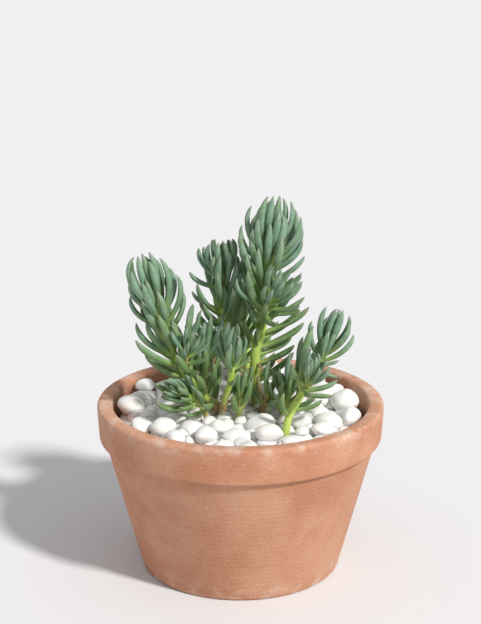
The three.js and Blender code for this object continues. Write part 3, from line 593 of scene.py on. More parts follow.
def pebble_rows():
    """The shaken-down top layer: each pebble's middle, half length and turn."""
    roll = dice(PEBBLE_SEED)
    stones = []
    for i in range(PEBBLE_COUNT):
        half = PEBBLE_HALF[0] + (PEBBLE_HALF[1] - PEBBLE_HALF[0]) * next(roll)
        reach = (PEBBLE_FIELD - half) * math.sqrt((i + 0.5) / PEBBLE_COUNT)
        angle = math.radians(i * GOLDEN_TURN + PEBBLE_TURN_SCATTER * (next(roll) - 0.5))
        height = PEBBLE_MIDDLE + PEBBLE_HEIGHT_SCATTER * (next(roll) - 0.5)
        place = {"x": reach * math.cos(angle), "y": reach * math.sin(angle), "z": height}
        stones.append({**place, "half": half, "turn": 360 * next(roll)})
    rooted = [shoot for shoot in SHOOTS if "root" in shoot]
    for shoot in rooted:
        first = 360 * next(roll)
        for j in range(PEBBLES_PER_STEM):
            half = SMALL_PEBBLE_HALF[0] + (SMALL_PEBBLE_HALF[1] - SMALL_PEBBLE_HALF[0]) * next(roll)
            scatter = SMALL_TURN_SCATTER * (next(roll) - 0.5)
            angle = math.radians(first + 360 / PEBBLES_PER_STEM * j + scatter)
            reach = shoot["radius"][0] + half + STEM_ROOM
            x, y = shoot["root"]
            place = {"x": x + reach * math.cos(angle), "y": y + reach * math.sin(angle)}
            height = PEBBLE_MIDDLE + SMALL_MIDDLE[0] + SMALL_MIDDLE[1] * next(roll)
            stones.append({**place, "z": height, "half": half, "turn": 360 * next(roll)})
    for _ in range(SHAKES):
        for i, stone in enumerate(stones):
            for other in stones[i + 1:]:
                push_apart(stone, other)
        for stone in stones:
            for shoot in rooted:
                push_off(stone, shoot)
            scale = min(1, (PEBBLE_FIELD - stone["half"]) / math.hypot(stone["x"], stone["y"]))
            stone["x"] *= scale
            stone["y"] *= scale
            stone["z"] = min(max(stone["z"], PEBBLE_LOWEST), highest(stone["half"]))
    stalks = np.array(ball_rows)
    for stone in stones:
        while stone["half"] > SMALLEST_PEBBLE and touches(stone, stalks[:, :3], stalks[:, 3]).any():
            stone["half"] *= WEAR_DOWN
            stone["z"] = min(stone["z"], highest(stone["half"]))
    return [stone for stone in stones if stone["half"] > SMALLEST_PEBBLE]


def touches(stone, points, radii):
    """Which of the balls at these points touch the pebble."""
    flat = stone["half"] + radii + GAP
    tall = stone["half"] * PEBBLE_HEIGHT + radii + GAP
    x, y = (points[:, 0] - stone["x"]) / flat, (points[:, 1] - stone["y"]) / flat
    z = (points[:, 2] - stone["z"]) / tall
    return x * x + y * y + z * z < 1


def under_rows():
    """The layer below, spread evenly and kept off the stems."""
    roll = dice(UNDER_SEED)
    stones = []
    for i in range(UNDER_COUNT):
        half = UNDER_HALF[0] + (UNDER_HALF[1] - UNDER_HALF[0]) * next(roll)
        reach = (PEBBLE_FIELD - half) * math.sqrt((i + 0.5) / UNDER_COUNT)
        angle = math.radians(UNDER_TURN + i * GOLDEN_TURN)
        place = {"x": reach * math.cos(angle), "y": reach * math.sin(angle)}
        stone = {**place, "z": UNDER_MIDDLE + next(roll), "half": half, "turn": 360 * next(roll)}
        for shoot in SHOOTS:
            if "root" in shoot:
                push_off(stone, shoot)
        stones.append(stone)
    return stones


def attribute_of(nodes, name):
    """A number that the piece's mesh carries at each point."""
    reader = nodes.new("ShaderNodeAttribute")
    reader.attribute_name = name
    return reader.outputs["Fac"]


def white_stone():
    """Washed white marble: nearly even, softly clouded and a little translucent, each stone a little apart."""
    material, shader, nodes, links = new_material("white_stone", 0.5)
    shader.inputs["Subsurface Weight"].default_value = 1.0
    shader.inputs["Subsurface Radius"].default_value = STONE_SCATTER
    place = nodes.new("ShaderNodeTexCoord").outputs["Object"]
    tone = attribute_of(nodes, "tone")
    clouds = noise_of(nodes, links, place, 140, 4)
    grain = noise_of(nodes, links, place, 2600, 2)
    creamy = spread_between(nodes, links, tone, 0.55, 1.0, 0, 0.8)
    colour = mixed(nodes, links, creamy, STONE_WHITE, STONE_CREAM)
    cloudy = worked_out(nodes, links, "MULTIPLY", spread_between(nodes, links, clouds, 0.5, 0.75), tone)
    links.new(mixed(nodes, links, cloudy, colour, STONE_GREY), shader.inputs["Base Color"])
    links.new(spread_between(nodes, links, clouds, 0.3, 0.7, 0.42, 0.6), shader.inputs["Roughness"])
    relief = worked_out(nodes, links, "ADD", worked_out(nodes, links, "MULTIPLY", grain, 0.3), clouds)
    raised(nodes, links, relief, 0.0004, shader)
    return material


def worn_flat(spot, flats):
    """A point on a stone, drawn in where it stands proud of one of the stone's worn flats."""
    for flat, depth in flats:
        proud = spot.dot(flat) - depth
        if proud > 0:
            spot = spot - flat * proud * FLAT_WEAR
    return spot


def add_stones(bm, rows, seed, lumps):
    """One worn stone for each row: a ball dented, worn flat on a few sides, drawn out and set down."""
    tone = bm.verts.layers.float["tone"]
    roll = dice(seed)
    for index, stone in enumerate(rows):
        made = bmesh.ops.create_icosphere(bm, subdivisions=2, radius=1)["verts"]
        offset = Vector((index * 3.7, seed * 1.3, 0))
        shade = next(roll)
        flats = []
        for _ in range(STONE_FLATS):
            angle, rise = math.tau * next(roll), FLAT_TILT * (next(roll) - 0.5)
            facing = Vector((math.cos(angle), math.sin(angle), rise)).normalized()
            flats.append((facing, FLAT_DEPTH + FLAT_DEPTH_SCATTER * next(roll)))
        for vert in made:
            broad = noise.noise(vert.co * BROAD_DENTS + offset)
            dent = lumps * broad + lumps * 0.5 * noise.noise(vert.co * FINE_DENTS + offset)
            vert.co = worn_flat(vert.co * (1 + dent), flats)
            vert[tone] = shade
        half = stone["half"]
        size = Matrix.Diagonal((half, half * PEBBLE_BREADTH, half * PEBBLE_HEIGHT, 1))
        turn = Matrix.Rotation(math.radians(stone["turn"]), 4, "Z")
        lean = Matrix.Rotation(math.radians(STONE_LEAN * (next(roll) - 0.5)), 4, "X")
        set_down = Matrix.Translation((stone["x"], stone["y"], stone["z"]))
        bmesh.ops.transform(bm, matrix=Matrix.Scale(MM, 4) @ set_down @ turn @ lean @ size, verts=made)


pebbles = pebble_rows()
bed = spun([Vector((across, 0, up)) * MM for across, up in GRIT_OUTLINE], SOIL_TURNS, closed=False)
bmesh.ops.remove_doubles(bed, verts=bed.verts, dist=1e-5)
bed.verts.layers.float.new("tone")
add_stones(bed, under_rows(), seed=8, lumps=0.30)
add_stones(bed, pebbles, seed=9, lumps=0.27)
stones = shown_piece("white_pebbles", bed, [white_stone()], "pebbles")
rounding = stones.modifiers.new("worn_smooth", "SUBSURF")
rounding.levels = rounding.render_levels = 2


# The leaves: fleshy, finger-like and pointed, flat above and keeled below, grown straight out of the stem in a
# spiral and packed round it, with a waxy blue bloom, yellow-green at their base and dull mauve at their tips.
# Each one takes its place in turn, and moves aside from what already stands there.
LEAF_WIDTH = 3.7
LEAF_FOOT = 0.72
LEAF_WIDEST = 0.5
LEAF_TAPER = 2.7
BEND_AT = 0.6
ROOT_OUT = 0.3
FULL_LEAF = 24
SMALL_LEAF = 0.42
LEAST_SPREAD = 4
SEEN_GIVE = 1.2
SPIRAL_CROWDING = 1.4
SPIRAL_SCATTER = {"turn": 14, "length": 0.16, "spread": 10, "curl": 12}
SIDE_LIMIT = 58.5
RIM_ZONE = 50
POT_TOP = 72
THINNEST = 0.25
CROWDED_FOOT = 3
CROWDING_ALLOWED = 0.6
CUT_COST = 2
MOVE_COST = 0.05
CLEARANCE_STATIONS = np.array([0.12, 0.22, 0.32, 0.42, 0.52, 0.62, 0.72, 0.82, 0.91, 0.98])
# Ways to move a leaf that is blocked, tried in turn: lift and yaw in degrees, and a share of its length
MOVES = [
    (0, 0, 1), (8, 0, 1), (-8, 0, 1), (0, 16, 1), (0, -16, 1), (-14, 12, 1), (-14, -12, 1), (16, 0, 1),
    (0, 30, 1), (0, -30, 1), (-24, 0, 0.9), (-12, 0, 0.8), (0, 20, 0.75), (0, -20, 0.75), (-30, 20, 0.7),
    (-30, -20, 0.7), (0, 0, 0.6), (-20, 0, 0.55),
]


def between(values, share):
    """A value given for the lowest, middle and top leaves, at a share of the way up."""
    low, middle, top = values
    return low + (4 * middle - 3 * low - top) * share + (2 * low + 2 * top - 4 * middle) * share * share


def leaf_width(share):
    """Width of a leaf along its length, as a share of its greatest."""
    if share > LEAF_WIDEST:
        return 1 - ((share - LEAF_WIDEST) / (1 - LEAF_WIDEST)) ** LEAF_TAPER
    rise = share / LEAF_WIDEST
    return LEAF_FOOT + (1 - LEAF_FOOT) * rise * (2 - rise)


def leaf_point(leaf, share):
    """The middle of a leaf at a share of its length."""
    return leaf["root"] * (1 - share) ** 2 + leaf["bow"] * 2 * (1 - share) * share + leaf["tip"] * share * share


def bent_leaf(root, along, out, length, spread, curl):
    """A leaf's course: it leaves the stem at an angle and bends back towards it, most in its outer half."""
    start, bend = math.radians(spread), math.radians(curl)
    first = along * math.cos(start) + out * math.sin(start)
    last = along * math.cos(start - bend) + out * math.sin(start - bend)
    course = length * bend_stretch(bend)
    size = SMALL_LEAF + (1 - SMALL_LEAF) * min(1, length / FULL_LEAF)
    side = np.cross(along, out)
    bow = root + first * course * BEND_AT
    return {"root": root, "bow": bow, "tip": bow + last * course * (1 - BEND_AT), "side": side, "size": size}


def bend_stretch(bend):
    """How much longer the two straight runs of a bent leaf are than the leaf."""
    return math.tan(bend / 2) / (bend / 2) if abs(bend) > 0.001 else 1


def around_stem(along):
    """The directions across a stem that face the viewer and the right."""
    front = unit(np.array([0, -1, 0]) + along * along[1])
    return front, np.cross(along, front)


def seen_wish(shoot, stem, row):
    """Where a leaf seen in profile should stand, worked out from its tip."""
    distance, *tip, curl = row
    point, along = on_stem(stem, distance)
    whole = np.array(tip, float) - point
    out = unit(whole - along * float(whole @ along))
    reach = whole - out * ROOT_OUT * stem_radius(shoot, stem, distance)
    front, right = around_stem(along)
    bend = math.radians(curl)
    across, ahead = (1 - BEND_AT) * math.sin(bend), BEND_AT + (1 - BEND_AT) * math.cos(bend)
    spread = math.atan2(float(reach @ out), float(reach @ along)) + math.atan2(across, ahead)
    return {
        "distance": distance,
        "turn": math.degrees(math.atan2(float(out @ right), float(out @ front))),
        "length": math.sqrt(float(reach @ reach)) / math.hypot(across, ahead) / bend_stretch(bend),
        "spread": math.degrees(spread),
        "curl": curl,
        "give": SEEN_GIVE,
    }


def seen_wishes(shoot, stem):
    """The leaves seen in profile on a stem."""
    return [seen_wish(shoot, stem, row) for row in shoot.get("seen", [])]


def in_profile(shoot, turn, share):
    """Whether a leaf would stand where only those seen in profile do."""
    return abs(math.fmod(turn, 180) - 90) < shoot["clear"] and share < shoot["clear_to"]


def spiral_wishes(shoot, stem):
    """The leaves that follow the spiral, closer together towards the head."""
    roll = dice(shoot["seed"])
    scatter = SPIRAL_SCATTER
    wishes = []
    for i in range(shoot["leaves"]):
        share = i / (shoot["leaves"] - 1)
        risen = 1 - (1 - share) ** SPIRAL_CROWDING
        wish = {"distance": shoot["bare"] + (stem[1][-1] - shoot["bare"]) * risen}
        wish["turn"] = shoot["turn"] + GOLDEN_TURN * i + scatter["turn"] * (next(roll) - 0.5)
        wish["length"] = between(shoot["long"], share) * (1 + scatter["length"] * (next(roll) - 0.5))
        wish["spread"] = between(shoot["spread"], share) + scatter["spread"] * (next(roll) - 0.5)
        wish["curl"] = between(shoot["curl"], share) + scatter["curl"] * (next(roll) - 0.5)
        if not in_profile(shoot, wish["turn"], share):
            wishes.append(wish)
    return wishes


def leaf_balls(leaf, owner):
    """The balls that stand for a leaf when others keep clear of it."""
    points = np.array([leaf_point(leaf, share) for share in CLEARANCE_STATIONS])
    radii = [LEAF_WIDTH / 2 * leaf["size"] * max(THINNEST, leaf_width(share)) for share in CLEARANCE_STATIONS]
    count = len(points)
    return np.column_stack([points, radii, np.full(count, owner), np.ones(count)])


def is_blocked(placed, balls, owner):
    """Whether a leaf would touch the pot, the pebbles or another stem and its leaves."""
    points, radii = placed[:, :3], placed[:, 3]
    low = points[:, 2] - radii
    beyond = np.abs(points[:, :2]).max() > SIDE_LIMIT
    in_rim = (np.hypot(points[:, 0], points[:, 1]) > RIM_ZONE) & (low < POT_TOP + GAP)
    if beyond or (low < BED_TOP + GAP).any() or in_rim.any():
        return True
    if any(touches(stone, points, radii).any() for stone in pebbles):
        return True
    others = balls[balls[:, 4] != owner]
    far = np.linalg.norm(points[:, None] - others[None, :, :3], axis=2)
    return bool((far < radii[:, None] + others[None, :, 3] + GAP).any())


def cuts_own(placed, balls, owner):
    """How deep a leaf cuts into other leaves of its own stem, past the crowded foot of the leaf."""
    own = balls[(balls[:, 4] == owner) & (balls[:, 5] > 0)]
    if not len(own):
        return 0
    outer = placed[CROWDED_FOOT:]
    far = np.linalg.norm(outer[:, None, :3] - own[None, :, :3], axis=2)
    return max(0, float((outer[:, None, 3] + own[None, :, 3] - far).max()) - CROWDING_ALLOWED)


def place_leaf(shoot, stem, wish, balls, deepest=LEAF_WIDTH):
    """A leaf moved the first way that is free, or else the way that cuts least into its own stem's leaves."""
    point, along = on_stem(stem, wish["distance"])
    front, right = around_stem(along)
    owner = NODE_NAMES.index(shoot["node"])
    inset = ROOT_OUT * stem_radius(shoot, stem, wish["distance"])
    best = None
    for move, (lift, yaw, share) in enumerate(MOVES):
        angle = math.radians(wish["turn"] + yaw)
        out = front * math.cos(angle) + right * math.sin(angle)
        spread = max(LEAST_SPREAD, wish["spread"] + lift)
        leaf = bent_leaf(point + out * inset, along, out, wish["length"] * share, spread, wish["curl"])
        placed = leaf_balls(leaf, owner)
        if is_blocked(placed, balls, owner):
            continue
        cut = max(0, cuts_own(placed, balls, owner) - wish.get("give", 0))
        cost = cut * CUT_COST + move * MOVE_COST
        if best is None or cost < best[0]:
            best = (cost, leaf, placed)
        if cut <= 0:
            break
    if best is None or best[0] > deepest * CUT_COST:
        return None, balls
    best[1]["height"] = wish["distance"] / stem[1][-1]
    return best[1], np.vstack([balls, best[2]])


balls = np.array(ball_rows)
leaves = [[] for _ in SHOOTS]
for wishes_of in (seen_wishes, spiral_wishes):
    for shoot, stem, grown in zip(SHOOTS, stems, leaves):
        for wish in wishes_of(shoot, stem):
            leaf, balls = place_leaf(shoot, stem, wish, balls)
            if leaf:
                grown.append(leaf)

# Young leaves stand up in the heart of each head, between those grown out before them
YOUNG_SHARE = 0.4
YOUNG_PART = 0.6
YOUNG_LENGTH = 0.86
YOUNG_SPREAD = 0.8
YOUNG_CUT = 1.2
for shoot, stem, grown in zip(SHOOTS, stems, leaves):
    for i in range(round(shoot["leaves"] * YOUNG_SHARE)):
        share = 1 - YOUNG_PART * (1 - (i + 0.5) / (shoot["leaves"] * YOUNG_SHARE))
        wish = {"distance": shoot["bare"] + (stem[1][-1] - shoot["bare"]) * share}
        wish["turn"] = shoot["turn"] + GOLDEN_TURN * (i + 0.5)
        wish["length"] = between(shoot["long"], share) * YOUNG_LENGTH
        wish["spread"] = between(shoot["spread"], share) * YOUNG_SPREAD
        wish["curl"] = between(shoot["curl"], share)
        if in_profile(shoot, wish["turn"], share):
            continue
        leaf, balls = place_leaf(shoot, stem, wish, balls, YOUNG_CUT)
        if leaf:
            grown.append(leaf)

# A few more leaves of the tall stem stand before its bare length, given as those seen in profile are
MORE_ON_TALL_STEM = [[32, 7, -7, 105, 34], [34, 1, -4, 107.5, 26], [25, -3, -2, 92, 24], [40, 4, -8, 113, 30]]
for row in MORE_ON_TALL_STEM:
    leaf, balls = place_leaf(SHOOTS[0], stems[0], seen_wish(SHOOTS[0], stems[0], row), balls)
    if leaf:
        leaves[0].append(leaf)

# A few dead leaves still hang at the foot of some stems, brown and shrunk
DEAD_LEAVES = {
    "main_shoot": 4, "left_shoot": 3, "front_shoot": 1, "back_shoot": 3, "rear_shoot": 3, "withered_shoot": 3,
}
DEAD_FROM = 6
DEAD_LENGTH = 6
DEAD_LENGTH_SHARE = (0.8, 0.6)
DEAD_SPREAD = 96
DEAD_CURL = -30
DEAD_DRYNESS = (0.75, 0.25)
DEAD_SEED = 900
for shoot, stem, grown in zip(SHOOTS, stems, leaves):
    roll = dice(shoot["seed"] + DEAD_SEED)
    for i in range(DEAD_LEAVES.get(shoot["node"], 0) if "root" in shoot else 0):
        wish = {"distance": DEAD_FROM + (shoot["bare"] - DEAD_FROM) * next(roll)}
        wish["turn"] = shoot["turn"] + 360 * next(roll)
        wish["length"] = DEAD_LENGTH * (DEAD_LENGTH_SHARE[0] + DEAD_LENGTH_SHARE[1] * next(roll))
        wish["spread"], wish["curl"] = DEAD_SPREAD, DEAD_CURL
        leaf, balls = place_leaf(shoot, stem, wish, balls, YOUNG_CUT)
        if leaf:
            grown.append({**leaf, "dry": DEAD_DRYNESS[0] + DEAD_DRYNESS[1] * next(roll)})

LEAF_STATIONS = (0, 0.14, 0.34, 0.54, 0.74, 0.88, 0.96)
LEAF_SIDES = 8
LEAF_TOP = 0.66
LEAF_CHANNEL = 0.35
LEAF_KEEL = 1.0
KEEL_FULLNESS = 0.9
LEAF_HOOK = 0.9
HOOK_SHARPNESS = 5
LEAF_PLUMP = (0.94, 0.12)
LEAF_TWIST = 14
LEAF_BLUNT = 1.3
LEAF_SHRINK = 0.45
# A leaf's cage stands a little outside it, and its outermost ring still has some width
CAGE = 1.06
LAST_RING = 0.995
# High up on a stem, the leaves are slimmer by this share, from the first of these heights to the second
LEAF_SLIM = 0.13
SLIM_FROM, SLIM_OVER = 0.45, 0.3
# Leaves age down a stem, and those near the pebbles are old. Some stems are older or younger as a whole, and
# the rear and front stems are shifted further as painted shade, their leaves duller and darker for the shade
# they stand in.
LOW_LEAVES = 36
AGE_AND_SHADE = {
    "rear_shoot": 0.30, "rear_left_shoot": 0.10, "front_shoot": 0.22, "back_shoot": 0.06, "right_shoot": -0.12,
    "low_left_shoot": -0.14, "low_middle_shoot": 0.06, "small_right_shoot": 0.08,
}
LEAF_BLUE = (0.104, 0.236, 0.156, 1)
LEAF_GREEN = (0.112, 0.200, 0.060, 1)
LEAF_STREAK = (0.210, 0.330, 0.130, 1)
LEAF_OLD = (0.142, 0.245, 0.052, 1)
LEAF_BASE = (0.330, 0.450, 0.120, 1)
LEAF_PINK = (0.330, 0.190, 0.150, 1)
LEAF_MAUVE = (0.215, 0.225, 0.180, 1)
LEAF_DRY = (0.300, 0.175, 0.080, 1)
BLOOM = (0.285, 0.425, 0.330, 1)
LEAF_SCATTER = (0.0012, 0.0022, 0.0008)
LEAF_RELIEF = 0.00012
BLOOM_PATCHES, BLOOM_POWDER, LEAF_CELLS = 260, 2400, 420
LAYERS = ("along", "edge", "tone", "age_and_shade", "dry")


def waxy_bloom():
    """The powdery bloom on leaves and young stems: a thin pale coat, rubbed off in streaks and patches."""
    group = bpy.data.node_groups.new("waxy_bloom", "ShaderNodeTree")
    for name, kind, way in (
        ("Position", "NodeSocketVector", "INPUT"), ("Skin", "NodeSocketColor", "INPUT"),
        ("Bloom", "NodeSocketColor", "INPUT"), ("Amount", "NodeSocketFloat", "INPUT"),
        ("Colour", "NodeSocketColor", "OUTPUT"), ("Height", "NodeSocketFloat", "OUTPUT"),
    ):
        group.interface.new_socket(name=name, in_out=way, socket_type=kind)
    nodes, links = group.nodes, group.links
    given = nodes.new("NodeGroupInput").outputs
    made = nodes.new("NodeGroupOutput").inputs
    patches = noise_of(nodes, links, given["Position"], BLOOM_PATCHES, 4, 0.6)
    powder = noise_of(nodes, links, given["Position"], BLOOM_POWDER, 2)
    cover = spread_between(nodes, links, patches, 0.30, 0.62, 0.25, 1.0)
    powdered = spread_between(nodes, links, powder, 0.25, 0.6, 0.7, 1.0)
    cover = worked_out(nodes, links, "MULTIPLY", cover, powdered)
    cover = worked_out(nodes, links, "MULTIPLY", cover, given["Amount"])
    links.new(mixed(nodes, links, cover, given["Skin"], given["Bloom"]), made["Colour"])
    links.new(worked_out(nodes, links, "ADD", patches, powder), made["Height"])
    return group


def bloomed(nodes, links, place, skin, bloom, amount):
    """The skin under its bloom: the colour, and the height that roughens it."""
    coat = nodes.new("ShaderNodeGroup")
    coat.node_tree = WAXY_BLOOM
    for name, value in (("Position", place), ("Skin", skin), ("Bloom", bloom), ("Amount", amount)):
        put(links, coat.inputs[name], value)
    return coat.outputs["Colour"], coat.outputs["Height"]


def leaf_skin():
    """Blue-green flesh under the bloom, yellow-green where it leaves the stem, duller on old leaves and on the
    stems given painted shade, with a painted highlight of paler bloom along each leaf's edges.
    """
    material, shader, nodes, links = new_material("leaf_skin", 0.46)
    shader.inputs["Subsurface Weight"].default_value = 0.10
    shader.inputs["Subsurface Radius"].default_value = LEAF_SCATTER
    shader.inputs["Coat Roughness"].default_value = 0.4
    place = nodes.new("ShaderNodeTexCoord").outputs["Object"]
    along, edge, tone, age_and_shade, dry = (attribute_of(nodes, name) for name in LAYERS)
    cells = noise_of(nodes, links, place, LEAF_CELLS, 3)
    strands = nodes.new("ShaderNodeCombineXYZ")
    put(links, strands.inputs["X"], worked_out(nodes, links, "MULTIPLY", edge, 5.0))
    put(links, strands.inputs["Y"], worked_out(nodes, links, "MULTIPLY", along, 1.4))
    put(links, strands.inputs["Z"], worked_out(nodes, links, "MULTIPLY", tone, 40.0))
    streaks = noise_of(nodes, links, strands.outputs[0], 1.0, 3)
    colour = mixed(nodes, links, tone, LEAF_BLUE, LEAF_GREEN)
    streaked = spread_between(nodes, links, streaks, 0.45, 0.75, 0, 0.55)
    colour = mixed(nodes, links, streaked, colour, LEAF_STREAK)
    # Old leaves turn greener and lose bloom; on the rear and front stems the same shift also paints the shade
    # they stand in.
    aged_and_shaded = spread_between(nodes, links, age_and_shade, 0.15, 0.60, 0.0, 0.90)
    colour = mixed(nodes, links, aged_and_shaded, colour, LEAF_OLD)
    colour = mixed(nodes, links, spread_between(nodes, links, cells, 0.35, 0.7, 0, 0.3), colour, LEAF_GREEN)
    colour = mixed(nodes, links, spread_between(nodes, links, along, 0.44, 0.04), colour, LEAF_BASE)
    amount = worked_out(
        nodes, links, "MULTIPLY", spread_between(nodes, links, along, 0.15, 0.6),
        spread_between(nodes, links, age_and_shade, 0.15, 0.60, 0.55, 0.12),
    )
    # Painted highlight: extra pale bloom along each leaf's edges stands in for the light that catches them.
    painted_edge_highlight = spread_between(nodes, links, edge, 0.72, 1.0, 0.0, 0.25)
    amount = worked_out(nodes, links, "ADD", amount, painted_edge_highlight)
    colour, relief = bloomed(nodes, links, place, colour, BLOOM, amount)
    few = spread_between(nodes, links, tone, 0.6, 1.0)
    tips = worked_out(nodes, links, "MULTIPLY", spread_between(nodes, links, along, 0.95, 1.0, 0.0, 0.8), few)
    near_tip = spread_between(nodes, links, along, 0.74, 1.0, 0.0, 0.75)
    near_edge = spread_between(nodes, links, edge, 0.0, 1.0, 0.35, 1.0)
    dulled = worked_out(nodes, links, "MULTIPLY", near_tip, near_edge)
    colour = mixed(nodes, links, dulled, colour, LEAF_MAUVE)
    colour = mixed(nodes, links, tips, colour, LEAF_PINK)
    links.new(mixed(nodes, links, dry, colour, LEAF_DRY), shader.inputs["Base Color"])
    links.new(spread_between(nodes, links, cells, 0.3, 0.7, 0.46, 0.62), shader.inputs["Roughness"])
    raised(nodes, links, relief, LEAF_RELIEF, shader, 0.6)
    return material


# The stems: round, fleshy and a little lumpy, yellow-green, and corky and pink-brown at the foot, where old
# leaves left their scars. Each one is grown together with its leaves, as one piece.
STEM_GREEN = (0.455, 0.640, 0.095, 1)
STEM_PALE = (0.610, 0.770, 0.175, 1)
STEM_PINK = (0.460, 0.270, 0.150, 1)
STEM_BROWN = (0.240, 0.145, 0.080, 1)
STEM_BLOOM = (0.47, 0.54, 0.32, 1)
STEM_PATCHES = 300
STEM_RELIEF = 0.0003


def stem_skin():
    """Yellow-green flesh in paler patches, pink-brown and corky where it leaves the pebbles."""
    material, shader, nodes, links = new_material("stem_skin", 0.5)
    shader.inputs["Subsurface Weight"].default_value = 0.12
    shader.inputs["Subsurface Radius"].default_value = LEAF_SCATTER
    place = nodes.new("ShaderNodeTexCoord").outputs["Object"]
    along, tone, dry = (attribute_of(nodes, name) for name in ("along", "tone", "dry"))
    patches = noise_of(nodes, links, place, STEM_PATCHES, 4, 0.6)
    colour = mixed(nodes, links, spread_between(nodes, links, patches, 0.35, 0.7), STEM_GREEN, STEM_PALE)
    edge = worked_out(nodes, links, "ADD", along, worked_out(nodes, links, "MULTIPLY", patches, -0.16))
    low = spread_between(nodes, links, edge, 0.13, -0.03)
    colour = mixed(nodes, links, worked_out(nodes, links, "MULTIPLY", low, tone), colour, STEM_PINK)
    colour = mixed(nodes, links, spread_between(nodes, links, edge, 0.0, -0.09), colour, STEM_BROWN)
    colour, relief = bloomed(nodes, links, place, colour, STEM_BLOOM, 0.15)
    links.new(mixed(nodes, links, dry, colour, STEM_BROWN), shader.inputs["Base Color"])
    raised(nodes, links, relief, STEM_RELIEF, shader)
    return material


def leaf_blank():
    """A straight leaf one unit long: a ring drawn out station by station to a point, its foot closed."""
    bm = bmesh.new()
    ring = bmesh.ops.create_circle(bm, segments=LEAF_SIDES, radius=1)["verts"]
    edges = bm.edges[:]
    bmesh.ops.contextual_create(bm, geom=edges)
    for station in (*LEAF_STATIONS[1:], 1):
        drawn = bmesh.ops.extrude_edge_only(bm, edges=edges)["geom"]
        ring = [part for part in drawn if isinstance(part, bmesh.types.BMVert)]
        lines = [part for part in drawn if isinstance(part, bmesh.types.BMEdge)]
        edges = [line for line in lines if all(vert in ring for vert in line.verts)]
        for vert in ring:
            vert.co.z = station
    bmesh.ops.pointmerge(bm, verts=ring, merge_co=(0, 0, 1))
    bmesh.ops.recalc_face_normals(bm, faces=bm.faces)
    blank = bpy.data.meshes.new("leaf_blank")
    bm.to_mesh(blank)
    bm.free()
    return blank


def grow_leaf(bm, leaf, roll, dryness, stem_age_and_shade):
    """A copy of the blank, laid along the leaf's bend and given its breadth, flat face, keel and twist."""
    start = len(bm.verts)
    bm.from_mesh(LEAF_BLANK)
    bm.verts.ensure_lookup_table()
    layers = {name: bm.verts.layers.float[name] for name in LAYERS}
    side = Vector(leaf["side"])
    root, bow, tip = (Vector(leaf[name]) for name in ("root", "bow", "tip"))
    tone, twist = next(roll), math.radians(LEAF_TWIST * (next(roll) - 0.5))
    plump = LEAF_PLUMP[0] + LEAF_PLUMP[1] * next(roll)
    slim = 1 - LEAF_SLIM * min(1, max(0, (leaf["height"] - SLIM_FROM) / SLIM_OVER))
    half = LEAF_WIDTH / 2 * slim * leaf["size"] * plump * (1 - LEAF_SHRINK * dryness)
    # How old the leaf is down its stem and near the pebbles, plus its stem's shift, which on the rear and front
    # stems is painted shade.
    age_and_shade = max(1 - leaf["height"], 1 - (leaf["tip"][2] - BED_TOP) / LOW_LEAVES) + stem_age_and_shade
    for vert in bm.verts[start:]:
        across, up, share = vert.co
        slope = ((bow - root) * (1 - share) + (tip - bow) * share).normalized()
        turn = Matrix.Rotation(twist * share, 3, slope)
        face = turn @ slope.cross(side)
        wide = half * leaf_width(min(share, LAST_RING) ** LEAF_BLUNT)
        if share == 1:
            wide = 0
        level = -LEAF_KEEL * abs(up) ** KEEL_FULLNESS
        if up > 0:
            level = LEAF_TOP * (math.sqrt(up) - LEAF_CHANNEL * up**4)
        middle = root * (1 - share) ** 2 + bow * 2 * (1 - share) * share + tip * share * share
        hook = face * (LEAF_HOOK * leaf["size"] * share**HOOK_SHARPNESS)
        vert.co = (middle + hook + (turn @ side) * wide * across * CAGE + face * wide * level * CAGE) * MM
        vert[layers["along"]] = share
        vert[layers["edge"]] = abs(across)
        vert[layers["tone"]] = tone
        vert[layers["age_and_shade"]] = age_and_shade
        vert[layers["dry"]] = dryness


STEM_SIDES = 12
# How far up a stem's foot is flushed pink-brown, from none to fully
FLUSH = {
    "main_shoot": 0.45, "left_shoot": 1.0, "front_shoot": 0.85, "right_shoot": 0.05, "withered_shoot": 1.0,
    "inner_left_shoot": 0.9, "low_left_shoot": 0.6,
}
FLUSH_ELSEWHERE = 0.5
STEM_RING = 1.8
STEM_LUMPS, LUMP_FINENESS = 0.10, 0.45
STEM_AGE = 0.5
# The stem's material reads the distance along it in this many millimetres
STEM_COURSE = 100
SCAR_FROM = 1.5
SCAR_STEP = 3.6
SCAR_SIZE = (0.85, 0.5, 0.32)
SCAR_SINK = 0.98
SCAR_FLUSH = 0.6


def stem_blank(rings):
    """A straight tube one unit long, closed at both ends and cut into even rings."""
    bm = bmesh.new()
    bmesh.ops.create_cone(bm, cap_ends=True, segments=STEM_SIDES, radius1=1, radius2=1, depth=1)
    uprights = [edge for edge in bm.edges if abs(edge.verts[0].co.z - edge.verts[1].co.z) > 0.5]
    bmesh.ops.subdivide_edges(bm, edges=uprights, cuts=rings)
    blank = bpy.data.meshes.new("stem_blank")
    bm.to_mesh(blank)
    bm.free()
    return blank


